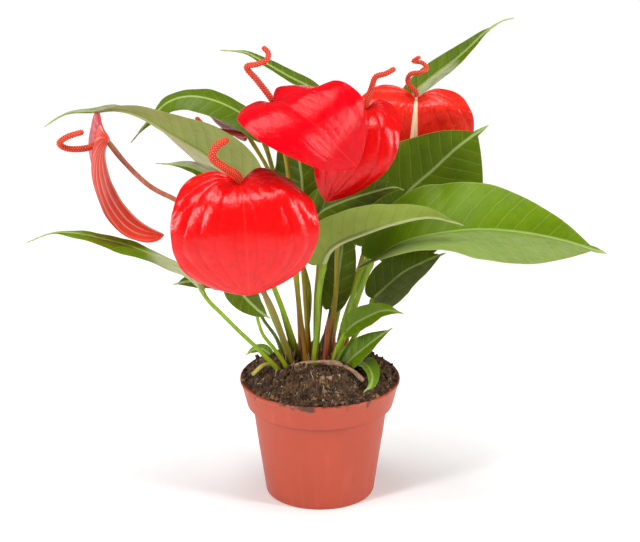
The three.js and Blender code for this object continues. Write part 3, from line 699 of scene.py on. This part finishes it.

# What a blade has unless its own entry says otherwise. A pair is for the two halves of the blade;
# the pair for freshness is for its base and its tip. rib is the midrib's path, faces where it looks.
# Freshness gives young growth its brighter green, and it also paints light and shade: high where light
# falls on or shines through a blade, low where a blade stands in shade. The sheen numbers paint a
# pale sheen, a painted reflection, on a half of the blade until it fades out at its end share.
plain = dict(belly=0.34, shoulder=0.3, bulge=1.7, taper=1, lobe=0.05, drip=0.05, rise=0.5, curl=0, wave=0.5,
             waves=3.5, spacing=10, fresh=0.2, sheen=0, painted_sheen_end=2)
leaves = dict(
    right_long=dict(half=(45, 42), fold=0.5, curl=(-0.35, -0.3), belly=(0.3, 0.5), bulge=(1.35, 1.7),
        fresh=(0.95, 0.6), sheen=(0, 0.2), wave=0.8, spacing=13, rib=[(38, -14, 190), (62, -22, 207),
        (87, -27, 215), (115, -30, 219), (144, -33, 218), (173, -35, 213), (207, -34, 202)],
        faces=[(-0.5, -0.1, 0.85), (-0.1, -0.3, 0.93), (0.1, -0.7, 0.7), (0.2, -0.9, 0.5)]),
    right_back=dict(half=(37, 45), fold=(0.15, 0.1), curl=(-0.1, -0.2), bulge=(2.1, 4), fresh=(0.25, 0.3),
        wave=0.8, drip=0.08, rib=[(39, 20, 189), (49, 22, 206), (65, 22, 230), (83, 22, 247), (99, 22, 263),
        (112, 24, 273), (124, 28, 280)], faces=[(-0.3, -0.9, 0.25), (-0.15, -0.95, 0.2), (0, -0.9, 0.4)]),
    right_spear=dict(half=(10, 9), fold=(0.4, 0.3), fresh=(0.55, 0.1), sheen=(0, 0.6), painted_sheen_end=0.5, wave=0.2,
        drip=0.16, rib=[(64, 75, 285), (75, 75, 296), (87, 75, 306), (101, 75, 317), (112, 75, 327),
        (123, 75, 338), (136, 75, 347), (144, 75, 349)], faces=[(-0.5, -0.7, 0.5), (-0.4, -0.7, 0.6)]),
    front_arching=dict(half=(20, 25), fold=(1.35, 0.5), curl=-0.2, fresh=(0.3, 0.1), rib=[(3, -19, 190),
        (6, -24, 199), (13, -30, 208), (36, -42, 222), (53, -46, 229), (78, -50, 235), (102, -52, 230)],
        faces=[(-0.35, 0.85, 0.35), (-0.2, 0.75, 0.6), (0.1, 0.6, 0.8)]),
    centre_dark=dict(half=19, fold=0.35, curl=-0.2, fresh=(0.1, 0.05), rib=[(-5, 7, 211), (1, 3, 221),
        (18, -2, 231), (36, -2, 237), (53, 2, 240), (62, 10, 236)],
        faces=[(-0.5, -0.6, 0.6), (-0.2, -0.45, 0.85)]),
    right_low=dict(half=17, fold=0.25, curl=-0.2, fresh=(0.1, 0.2), sheen=(0, 0.15), rib=[(40, 14, 149),
        (50, 8, 161), (62, 2, 174), (77, 0, 183), (93, 4, 189)],
        faces=[(-0.4, -0.8, 0.4), (-0.3, -0.8, 0.5)]),
    small_right=dict(half=10, fold=0.35, fresh=1, spacing=7, wave=0.3, rib=[(19, -21, 136), (25, -22, 142),
        (34, -26, 149), (47, -30, 156), (61, -32, 155)], faces=[(-0.3, -0.7, 0.6), (-0.1, -0.7, 0.7)]),
    small_front=dict(half=11, fold=0.3, fresh=(0.9, 0.7), spacing=7, wave=0.3, rib=[(16, -17, 105),
        (24, -18, 114), (31, -20, 121), (41, -24, 131), (53, -26, 141)],
        faces=[(-0.5, -0.6, 0.6), (-0.4, -0.6, 0.7)]),
    small_curled=dict(half=(10, 9), fold=0.2, curl=-0.3, fresh=(0.3, 1), spacing=5, wave=0.2,
        rib=[(28, -8, 104), (32, -18, 110.5), (36.5, -28, 109.5), (38.5, -35, 106), (37, -41, 101.5),
        (32, -46, 98)], faces=[(-0.5, 0.2, 0.8), (0.6, -0.5, 0.7), (0.8, -0.6, 0.2)]),
    left_long=dict(half=(27, 20), fold=(0.6, 0.2), curl=(-0.3, -0.2), belly=0.2, bulge=1.5, taper=1.2,
        fresh=(0.2, 0.3), sheen=(0.12, 0.45), rib=[(-54, -16, 246), (-66, -14, 257), (-79, -12, 267),
        (-104, -9, 282), (-132, -6, 298), (-147, -4, 301), (-163, -2, 299), (-183, 0, 297), (-200, 0, 287)],
        faces=[(0.3, 0.75, 0.6), (0.15, 0.7, 0.7), (0.1, 0.4, 0.9), (0, -0.2, 0.95), (0, -0.3, 0.95)]),
    left_back=dict(half=15, fold=-0.1, curl=-0.3, fresh=(0.3, 0.45), rib=[(-43, 30, 274), (-54, 29, 286),
        (-75, 28, 298), (-95, 28, 302), (-111, 27, 298), (-126, 24, 284), (-139, 20, 269)],
        faces=[(0.4, -0.45, 0.8), (0, -0.4, 0.95), (-0.85, -0.3, 0.5)]),
    top_slender=dict(half=6, fold=0.3, fresh=(0.1, 0.2), wave=0.2, drip=0.1, rib=[(5, 56, 290),
        (-6, 56, 300), (-22, 58, 308), (-40, 60, 318), (-56, 62, 326), (-74, 62, 328)],
        faces=[(0.3, -0.6, 0.7), (0.2, -0.5, 0.85)]),
    left_narrow=dict(half=7, fold=0.2, fresh=0.1, sheen=(0, 0.6), wave=0.3, drip=0.1, rib=[(-59, -30, 236),
        (-70, -32, 253), (-82, -34, 263), (-96, -35, 269), (-117, -36, 271)],
        faces=[(0.2, -0.8, 0.5), (-0.1, -0.7, 0.7)]),
    left_low=dict(half=(16, 7), fold=(0.1, 0.3), curl=-0.2, belly=0.58, shoulder=0.2, rise=1.6, bulge=1.2,
        taper=1.3, fresh=(1, 0.8), sheen=0.8, painted_sheen_end=0.36, drip=0.1, rib=[(-88, -28, 176), (-97, -30, 187),
        (-116, -33, 198), (-136, -36, 208), (-154, -38, 214), (-172, -40, 219), (-192, -40, 220),
        (-211, -38, 212)], faces=[(0.5, -0.4, 0.7), (0.1, -0.1, 0.95), (0, -0.1, 0.98), (0, -0.3, 0.9)]),
    left_hanging=dict(half=12, fold=0.3, fresh=(0.05, 0.1), spacing=7, rib=[(-55, -30, 182),
        (-59, -37, 182), (-56, -44, 175), (-46, -48, 165), (-36, -46, 156)], faces=[(-0.3, -0.2, 0.9),
        (-0.5, -0.5, 0.7), (-0.4, -0.7, 0.3)]),
    left_short=dict(half=12, fold=0.3, curl=-0.1, fresh=(0.05, 0.1), spacing=7, rib=[(-60, -2, 167),
        (-68, -6, 172), (-81, -8, 174), (-94, -10, 172), (-108, -12, 170)],
        faces=[(0.1, -0.7, 0.7), (0, -0.7, 0.7)]),
    centre_back=dict(half=13, fold=0.25, fresh=(0.1, 0.15), rib=[(9, 24, 139), (13, 34, 155), (16, 40, 175),
        (18, 43, 196), (20, 46, 213)], faces=[(0.1, -0.9, 0.4), (0.2, -0.85, 0.5)]),
    behind_flowers=dict(half=22, fold=0.15, fresh=(0.05, 0.1), rib=[(-14, 18, 213), (-13, 20, 230),
        (-15, 24, 252), (-22, 30, 274), (-29, 36, 290)], faces=[(0.2, -0.9, 0.3), (0.2, -0.9, 0.4)]),
    rim_sprout=dict(half=5, fold=0.2, fresh=(0.8, 1), spacing=5, wave=0.2, rib=[(-37, 22, 99),
        (-44, 26, 103), (-51, 29, 101), (-57, 32, 96)], faces=[(0.2, -0.5, 0.9), (0, -0.5, 0.9)]),
)
for name, spec in leaves.items():
    leaf_piece(name, {**plain, **spec})

# ---- Flower stalks ----
# Peduncles are longer and thinner than the leaf stalks and have no swollen joint: each runs on
# into the back of its spathe, where it bends to hold the spadix up.
stalk_rosy = stalk_finish("stalk_rosy", (0.34, 0.085, 0.045), (0.52, 0.19, 0.11), (0.20, 0.24, 0.012), 0.5)
flower_stalks = dict(
    front=([(-15, 4), (-27, -12, 148), (-42, -38, 202), (-52, -60, 248), (-56, -74, 270)], 2.3, 1.8,
        petiole_green),
    top=([(-10, -4), (-16, 0, 153), (-18, -6, 195), (-22, -14, 248), (-27, -24, 285), (-34, -44, 319)], 2,
        1.6, petiole_olive),
    centre=([(5, 11), (12, 14, 156), (13, 16, 187), (18, 14, 227), (28, 8, 267), (33, 0, 301)], 2.2, 1.7,
        petiole_olive),
    right=([(18, 14), (24, 22, 145), (31, 29, 173), (37, 36, 192), (39, 43, 216), (42, 50, 240),
        (53, 59, 265), (71, 60, 292)], 2.4, 1.6, petiole_olive),
    left=([(-20, -3), (-27, -9, 125), (-38, -17, 159), (-58, -27, 194), (-83, -28, 223), (-101, -28, 239),
        (-122, -25, 250), (-140, -22, 267), (-153, -20.7, 284)], 2.2, 1.8, stalk_rosy),
    back=([(-12, 25), (-8, 28, 148), (-13, 32, 170), (-24, 40, 208), (-40, 47, 242), (-54, 52, 265)], 2,
        1.5, petiole_olive),
)
for name, stalk in flower_stalks.items():
    grow_stalk("peduncle_" + name, *stalk, "flower_stalk", "flower_stalk_" + name, joint=0.15)

# ---- Spathes ----
# The red heart-shaped bract of each flower is thick, waxy and puckered. Its main veins leave the
# stalk in a fan, bow out round the lobes and meet again at the tip, and the skin swells between.
SPATHE_SKIN = 0.7
SPATHE_RIBS = 9.0


def fan_angle(across, along, length):
    """The angle at which the arc from the stalk through a place to the tip leaves the midrib."""
    away = np.maximum(np.abs(across), 1e-3)
    centre = (away ** 2 + along ** 2 - length * along) / (2 * away)
    return np.arctan2(length / 2, centre)


def spathe_piece(name, spec, finish, columns=97, rows=110):
    """One finished spathe, puckered between its fanned ribs, in one closed thin body."""
    point, side, share, across, along, length = blade_sheet(spec, columns, rows)
    seed, rim = spec["seed"], np.abs(side)
    fan = fan_angle(across, along, length)
    fan = fan + 0.10 * np.sin(3.1 * fan + seed) + 0.05 * np.sin(along / 9 + seed) * np.sin(fan)
    phase = fan * SPATHE_RIBS / np.pi
    near = np.abs(phase - np.round(phase))
    from_stalk = np.hypot(across, along)
    grown = np.clip(from_stalk / 14, 0, 1) * np.clip((1 - share) / 0.3, 0, 1) ** 1.2 * (1 - rim ** 10)
    ribs = np.exp(-((near / 0.13) ** 2)) * grown
    billow = np.cos(phase * 2 * np.pi) * grown
    swell = np.array([noise.fractal(Vector((a * 0.06, b * 0.035, seed)), 0.9, 2.0, 2)
                      for a, b in zip(across.ravel(), along.ravel())]).reshape(across.shape)
    ripple = np.sin(share * 2.2 * 2 * np.pi + seed) + 0.4 * np.sin(share * 4.7 * 2 * np.pi + 2 * seed)
    lift = 0.5 * ripple * rim ** 3 * np.sin(share * np.pi) ** 0.6
    swollen = np.exp(-(((share - 0.12) / 0.16) ** 2 + ((rim - 0.55) / 0.3) ** 2))
    lift += of_side(spec["dome"], side) * swollen
    lift -= 2.6 * np.exp(-((from_stalk / 6) ** 2))
    lift += spec["pucker"] * swell * grown - 0.16 * ribs * spec["veined"] - spec["billow"] * billow
    point = point + sheet_normals(point) * lift[..., None]
    spread = point - point[:1].mean(axis=1, keepdims=True)
    spread /= np.maximum(np.linalg.norm(spread, axis=-1, keepdims=True), 1)
    point = point - spread * (spec["scallop"] * (billow + 0.6 * ribs) * rim ** 6)[..., None]
    keel = 0.9 * np.exp(-((across / 1.2) ** 2)) * (1 - share) ** 0.6 + 0.25 * ribs
    thick = SPATHE_SKIN * (1 - 0.5 * rim ** 8)
    marks = {"across": across, "along": along, "fan": fan, "share": share, "grown": grown * spec["veined"]}
    settle_sheet("bract_" + name, point, thick, keel, side, marks, finish, "spathe", "spathe_" + name)


# The fan of ribs and the puckered skin between them, for every colour of spathe.
fans = Group("fanned ribs", {"Flat": "Vector", "Fan": "Float", "Ribs": "Float"},
                 {"Rib": "Float", "Midrib": "Float", "Height": "Float", "Pucker": "Float", "Streak": "Float"})
flat, fan, ribs = (fans.taken[label] for label in ("Flat", "Fan", "Ribs"))
from_rib = fans.from_whole(fans.times(fan, fans.sums("DIVIDE", ribs, math.pi)))
rib = fans.ramp(from_rib, 0.02, 0.16, 1.0, 0.0)
puckers = fans.noise(flat, 0.16, 4.0)
polar = fans.put("CombineXYZ", {0: fan, 1: fans.times(fans.length(flat), 0.035), 2: 0.0})
streaks = fans.noise(polar, 7.0, 4.0, 0.6)
fine = fans.scaled(streaks, 1.6, fans.times(fans.noise(flat, 0.55, 2.0), 0.35))
height = fans.plus(fans.times(rib, -0.25), fans.times(puckers, 1.1))
fans.feed(fans.given, {
    "Rib": rib, "Midrib": fans.ramp(fans.size(fans.part(flat, 0)), 0.5, 1.6, 1.0, 0.0),
    "Height": fans.plus(height, fine), "Pucker": puckers, "Streak": fans.ramp(streaks, 0.42, 0.68)})


def spathe_finish(name, low, high, rib_tone, mid_tone, mid_share, mid_width, back_low, back_high,
                  gloss=0.30, coat=0.08, back_share=0.35):
    """Waxy coloured spathe skin, deeper along its ribs, with a duller back and pale back veins."""
    wax = Finish(name)
    flat = wax.mark("flat", "Vector")
    fan, upper, grown, share = map(wax.mark, ("fan", "upper", "grown", "share"))
    veins = wax.group(fans, Flat=flat, Fan=fan, Ribs=SPATHE_RIBS)
    front = wax.mottled(flat, 0.07, 6.0, 1.7, low, high)
    lines = wax.times(veins["Rib"], grown)
    drawn = wax.larger(wax.times(lines, 0.45), wax.times(veins["Streak"], 0.5))
    ribbed = wax.blend(drawn, front["Tone"], rib_tone)
    past_strip = wax.minus(wax.size(wax.part(flat, 0)), wax.scaled(share, mid_width, 0.7))
    strip = wax.times(wax.ramp(past_strip, -0.3, 0.3, 1.0, 0.0), mid_share)
    back = wax.mottled(flat, 0.07, 6.0, 1.5, back_low, back_high)
    back_lines = wax.times(wax.larger(lines, veins["Midrib"]), back_share)
    back_tone = wax.blend(back_lines, back["Tone"], (0.90, 0.55, 0.42))
    wax.end(Base_Color=wax.blend(upper, back_tone, wax.blend(strip, ribbed, mid_tone)),
            Roughness=wax.scaled(upper, -0.14, wax.scaled(veins["Pucker"], 0.3, 0.20)),
            Subsurface_Weight=0.06, Subsurface_Scale=0.002, Coat_Weight=coat, Coat_Roughness=0.18,
            Specular_IOR_Level=gloss)
    wax.relief(wax.times(veins["Height"], wax.scaled(upper, 2.0, -1.0)), 0.6, 0.5)
    return wax


spathe_red = spathe_finish("waxy_red_spathe", (0.62, 0.0008, 0.002), (0.86, 0.004, 0.003),
                           (0.50, 0.001, 0.003), (0.86, 0.03, 0.02), 0.3, 0.0, (0.50, 0.006, 0.010),
                           (0.86, 0.020, 0.016))
# The top spathe is a deeper red, and its back, which faces down away from the lights, is darkened to near
# black-red: painted shade.
spathe_crimson_painted_back_shade = spathe_finish("waxy_crimson_spathe", (0.52, 0.0003, 0.004), (0.74, 0.0008, 0.008),
                           (0.60, 0.0005, 0.006), (0.85, 0.02, 0.03), 0.35, 0.0, (0.12, 0.002, 0.003),
                           (0.26, 0.004, 0.006), 0.13, 0.03)
# The back spathe stands in shade behind the leaves, so its red is darkened on both faces to near black-red:
# painted shade.
spathe_red_painted_shade = spathe_finish("waxy_maroon_spathe", (0.10, 0.0015, 0.002), (0.20, 0.003, 0.004),
                           (0.06, 0.001, 0.002), (0.30, 0.01, 0.012), 0.3, 0.0, (0.10, 0.002, 0.002),
                           (0.20, 0.003, 0.004), 0.2, 0.05)
# The left spathe is painted light and shade: its front, turned from the lights, is a darker red (painted
# shade), and its back is lightened to pale orange-red with strong whitish back veins (painted light and
# painted sheen) over the paler colour a spathe's back has.
spathe_painted_light_and_shade = spathe_finish("waxy_faded_spathe", (0.40, 0.005, 0.014), (0.66, 0.014, 0.032),
                           (0.28, 0.002, 0.008), (0.70, 0.03, 0.03), 0.3, 0.0, (0.92, 0.020, 0.010),
                           (0.98, 0.090, 0.045), 0.4, 0.1, 0.65)
spathe_coral = spathe_finish("waxy_coral_spathe", (0.58, 0.004, 0.003), (0.84, 0.040, 0.016),
                           (0.50, 0.004, 0.004), (0.92, 0.62, 0.40), 0.95, 4.0, (0.75, 0.05, 0.03),
                           (0.9, 0.1, 0.06), 0.25, 0.04)
heart = dict(belly=0.42, shoulder=0.5, bulge=2, taper=0.62, lobe=0.12, drip=0, rise=0.5, dome=0, pucker=0.7,
             veined=1, billow=0.1, scallop=0.5)
spathes = dict(
    front=(spathe_red, dict(half=52, fold=(0, 0.1), curl=(-0.5, -0.4), bulge=(2.5, 3.3), taper=(0.55, 0.5),
        seed=1.3, dome=(5.5, 1.5), scallop=1.1, pucker=1.3, rib=[(-56, -75, 271), (-53, -96, 262),
        (-51, -106, 238), (-50, -101, 214), (-50, -90, 191)], faces=[(0, -0.3, 0.9), (0, -0.95, 0.3),
        (0, -0.95, -0.2), (0, -0.85, -0.4)])),
    top=(spathe_crimson_painted_back_shade, dict(half=(43, 37), fold=(0.05, 0.22), curl=(-0.2, -0.6), seed=4.1, dome=(3.5, 0),
        billow=0.02, belly=(0.5, 0.26), bulge=(2.2, 1.4), taper=(0.62, 0.85), lobe=(0.14, 0.06), veined=0.2,
        pucker=0.5, rib=[(-34, -46, 321), (-21, -64, 321), (-5, -74, 312), (11, -74, 295), (26, -64, 277)],
        faces=[(0.1, -0.4, 0.9), (0.35, -0.75, 0.5), (0.4, -0.85, 0.2)])),
    centre=(spathe_red, dict(half=29, fold=(0.1, 0.2), curl=-0.4, seed=7.7, dome=2.5, pucker=0.9,
        bulge=(1.7, 2.2), taper=(0.9, 0.7), rib=[(33, -1, 303), (31, -20, 296), (26, -30, 280),
        (16, -33, 259), (5, -30, 240)], faces=[(0.1, -0.3, 0.9), (0.2, -0.9, 0.3), (0.1, -0.95, -0.1)])),
    right=(spathe_coral, dict(half=45, fold=(0.05, 0.1), curl=(-0.2, -0.1), seed=9.2, dome=(2, 0),
        pucker=0.3, billow=0.06, veined=0.5, rib=[(72, 58, 294), (71, 48, 288), (70, 44, 273),
        (69, 46, 250), (68, 52, 234)], faces=[(0, -0.4, 0.9), (0.1, -0.9, 0.3), (0.1, -0.95, -0.1)])),
    left=(spathe_painted_light_and_shade, dict(half=31, fold=0.4, curl=-0.1, lobe=0.16, seed=12.6, rib=[(-154, -21, 285),
        (-155, -20, 270), (-151, -18, 249), (-142, -16, 231), (-129, -13, 217), (-114, -10, 208)],
        faces=[(-0.9, -0.1, 0), (-0.95, -0.15, -0.2), (-0.8, -0.15, -0.6)])),
    back=(spathe_red_painted_shade, dict(half=20, fold=0.1, curl=-0.2, seed=15.4, rib=[(-55, 52, 266), (-65, 50, 276),
        (-79, 52, 286), (-95, 56, 296)], faces=[(-0.4, -0.6, -0.6), (-0.45, -0.6, -0.6)])),
)
for name, (finish, spec) in spathes.items():
    spathe_piece(name, {**heart, **spec}, finish)

# ---- Spadices ----
# The spadix is a fleshy spike packed with tiny flowers in crossing spirals. On this kind it
# curls like a pig's tail. It is orange-red, with a yellow dot where each small flower opens.
BEAD_STEP = 1.9

beads = Finish("beaded_spadix")
bead = beads.mark("bead")
where = beads.place()
flesh = beads.mottled(where, 180.0, 4.0, 1.6, (0.70, 0.028, 0.004), (0.92, 0.080, 0.010))
gaps = beads.blend(beads.ramp(bead, 0.05, 0.5, 0.85, 0.0), flesh["Tone"], (0.36, 0.006, 0.002))
beads.end(Base_Color=beads.blend(beads.ramp(bead, 0.6, 0.95, 0.0, 0.8), gaps, (0.95, 0.34, 0.10)),
          Roughness=beads.ramp(bead, 0.0, 1.0, 0.62, 0.38), Subsurface_Weight=0.15, Subsurface_Scale=0.002)
beads.relief(beads.noise(where, 1800.0, 2.0), 0.3, 0.1)

spadices = dict(
    front=(3.2, 2.5, [(-56, -73, 270), (-58, -76, 275), (-66, -84, 283), (-74, -88, 292), (-71, -86, 299),
        (-63, -82, 303)]),
    top=(2.3, 1.8, [(-34, -43, 320), (-37, -44, 325), (-44, -46, 335), (-51, -48, 345), (-44, -52, 348),
        (-37, -52, 351), (-36, -48, 355), (-40, -46, 359)]),
    centre=(2.3, 1.8, [(33, 0, 302), (34, 0, 307), (37, 0, 316), (40, -2, 325), (47, -4, 328),
        (54, -4, 332)]),
    right=(2, 1.4, [(72, 57, 294), (71, 56, 298), (67, 55, 302), (65, 54, 307), (67, 52, 312),
        (74, 50, 314), (79, 52, 316), (76, 54, 320), (69, 52, 322), (74, 50, 326)]),
    left=(2.4, 2, [(-155, -22, 283), (-160, -23, 281), (-167, -26, 279), (-180, -30, 280), (-185, -34, 285),
        (-179, -38, 291), (-167, -38, 295)]),
    back=(2.2, 1.7, [(-56, 50, 266), (-58, 46, 267), (-67, 36, 272), (-76, 28, 276), (-84, 18, 282),
        (-90, 10, 291)]),
)
for name, (thick, thin, path) in spadices.items():
    _, length = smooth_path(path)
    starts = max(5, round(math.pi * thick / 1.7))

    def radius_at(s, thick=thick, thin=thin, length=length):
        ends = np.sqrt(np.clip(1 - (1 - np.clip((1 - s) * length / (thin * 1.1), 0, 1)) ** 2, 0.02, 1))
        return (thick + (thin - thick) * s) * ends * (1 - 0.12 * np.exp(-s / 0.03))

    def bead_height(s, a, starts=starts):
        first = np.cos((starts * a + s * 2 * math.pi / BEAD_STEP) / 2) ** 2
        second = np.cos((starts * a - s * 2 * math.pi / BEAD_STEP) / 2) ** 2
        return first * second

    sides, rows = 64, int(length / 0.3)
    points, faces, marks = tube(path, radius_at, sides, rows, lambda s, a: 0.5 * bead_height(s, a) - 0.2)
    s, a = np.meshgrid(np.linspace(0, 1, rows) * length, around(sides), indexing="ij")
    marks["bead"] = np.concatenate([bead_height(s, a).ravel(), [0, 0.5]])
    spike = piece_from("spike_" + name, points, faces, marks, crease=80)
    settle(spike, beads, "spadix", "spadix_" + name)

# ---- Crown ----
# Around the stalks' feet stand two reddish stipules that wrapped young leaves, a dead brown
# sheath has fallen over the soil, and the stub of a cut stalk lies at the left.
stipule_skin, dry_skin = Finish("papery_stipule"), Finish("dry_sheath")
for skin, place, scale, detail, low, high, roughness, strength, depth in [
        (stipule_skin, stipule_skin.stretch(stipule_skin.place(), (1, 1, 0.1)), 600.0, 5.0,
         (0.20, 0.025, 0.018), (0.48, 0.11, 0.05), 0.55, 0.6, 0.3),
        (dry_skin, dry_skin.place(), 420.0, 6.0,
         (0.14, 0.065, 0.035), (0.52, 0.32, 0.19), 0.75, 0.8, 0.5)]:
    paper = skin.mottled(place, scale, detail, 2.0, low, high)
    skin.end(Base_Color=paper["Tone"], Roughness=roughness)
    skin.relief(paper["Drift"], strength, depth)


def pointed(foot):
    return lambda s: foot * (1 - s) ** 0.6 + 0.15


tall = tube([(3, -8, SKIN_LEVEL), (4, -9, 118), (5, -10, 132), (6, -11, 144)], pointed(2.2), 14, 50,
            lambda s, a: 0.22 * np.cos(3 * a + s * 0.08))
settle(piece_from("stipule_tall_paper", *tall, crease=60), stipule_skin, "stipule", "stipule_tall")
short = tube([(9, 1, SKIN_LEVEL), (10, 0, 116), (11, -1, 130)], pointed(2.0), 14, 40,
             lambda s, a: 0.2 * np.cos(3 * a + s * 0.1))
settle(piece_from("stipule_short_paper", *short, crease=60), stipule_skin, "stipule", "stipule_short")
fallen_path = [(-19, -23, 109.5), (-8, -20, 111), (4, -22, 112), (14, -25, 112), (24, -31, 109),
               (32, -38, 104)]
fallen = tube(fallen_path,
              lambda s: 1.2 + 0.4 * np.sin(s * 3.1), 20, 90,
              lambda s, a: 0.4 * np.cos(2 * a + s * 0.25) + 0.14 * np.cos(7 * a + s * 0.3))
settle(piece_from("dead_sheath_husk", *fallen, crease=60), dry_skin, "dry_sheath", "dead_sheath")
stub_skin = stalk_finish("cut_stub_skin", (0.36, 0.34, 0.05), (0.55, 0.50, 0.12), (0.30, 0.10, 0.03), 0.4)
stub = tube([(-34, -10, 106), (-42, -14, 106.5), (-50, -21, 102)], lambda s: 1.45 + 0 * s, 18, 30,
            lambda s, a: 0.08 * np.cos(5 * a))
settle(piece_from("cut_stub_stalk", *stub, crease=50), stub_skin, "petiole", "cut_stub")

SHREDS_A_STALK = 4
shreds = []
for stalk in [*petioles.values(), *flower_stalks.values()]:
    x, y = stalk[0][0]
    for _ in range(SHREDS_A_STALK):
        turn = luck.uniform(0, 2 * math.pi)
        out, rise, lean = luck.uniform(2.4, 4.2), luck.uniform(3, 15), luck.uniform(0.5, 3.5)
        ring = [(x + (out + lean * share ** 2) * math.cos(turn + 0.3 * share),
                 y + (out + lean * share ** 2) * math.sin(turn + 0.3 * share),
                 soil_height(x, y) - 1.5 + rise * share) for share in (0, 0.35, 0.7, 1)]
        taper = pointed(luck.uniform(0.4, 1.0))
        shred = tube(ring, taper, 8, 16, lambda s, a: 0.12 * np.cos(2 * a + s * 0.4))
        shreds.append((shred[:2], luck.choice([0.0, 0.5])))
settle(piece_from("crown_shreds", *heap(shreds), crease=60), dry_skin, "dry_sheath")

# ---- Studio ----
# A plain pale floor, a white surround and large soft lights, with the camera a little above.
FLOOR_SIZE = 8.0
corners = [(-FLOOR_SIZE, -FLOOR_SIZE, 0), (FLOOR_SIZE, -FLOOR_SIZE, 0), (FLOOR_SIZE, FLOOR_SIZE, 0),
           (-FLOOR_SIZE, FLOOR_SIZE, 0)]
floor_mesh = bpy.data.meshes.new("floor")
floor_mesh.from_pydata(corners, [], [(0, 1, 2, 3)])
floor = place_object("floor", floor_mesh)
paint = Finish("pale_floor")
where = paint.place()
grain = paint.mottled(where, 3.0, 3.0, 1.0, (0.90, 0.90, 0.90), (0.94, 0.94, 0.94))
near = paint.ramp(paint.part(where, 1), -0.9, -0.15)
far = paint.ramp(paint.length(where), 0.3, 2.6)
paint.end(Base_Color=paint.blend(near, (0.66, 0.66, 0.66), grain["Tone"]),
          Emission_Color=paint.blend(far, (0.17, 0.17, 0.17), (0.88, 0.88, 0.88)),
          Roughness=0.9, Specular_IOR_Level=0.1, Emission_Strength=1.0)
floor.data.materials.append(paint.material)

world = bpy.data.worlds.new("white_surround")
world.use_nodes = True
surround = world.node_tree.nodes["Background"]
surround.inputs["Color"].default_value = (1, 1, 1, 1)
surround.inputs["Strength"].default_value = 0.14
bpy.context.scene.world = world


def soft_light(name, place, aim, size, watts):
    lamp = bpy.data.lights.new(name, "AREA")
    lamp.shape, lamp.size, lamp.size_y, lamp.energy = "RECTANGLE", size[0], size[1], watts
    holder = place_object(name, lamp)
    holder.location = place
    holder.rotation_euler = (Vector(aim) - Vector(place)).to_track_quat("-Z", "Y").to_euler()


soft_light("left_softbox", (-1.25, -1.05, 0.95), (0, 0, 0.22), (0.26, 1.0), 22)
soft_light("right_softbox", (1.35, -0.65, 0.85), (0, 0, 0.22), (0.26, 0.9), 18)
soft_light("top_softbox", (-0.15, -0.1, 1.9), (0, 0, 0.25), (1.1, 0.9), 26)

lens = bpy.data.cameras.new("camera")
lens.lens, lens.sensor_width = 132.98, 36.0
camera = place_object("camera", lens)
camera.location = (0, -1.64, 0.781)
camera.rotation_euler = (math.radians(69.75), 0, 0)
bpy.context.scene.camera = camera
bpy.context.scene.view_settings.view_transform = "Standard"
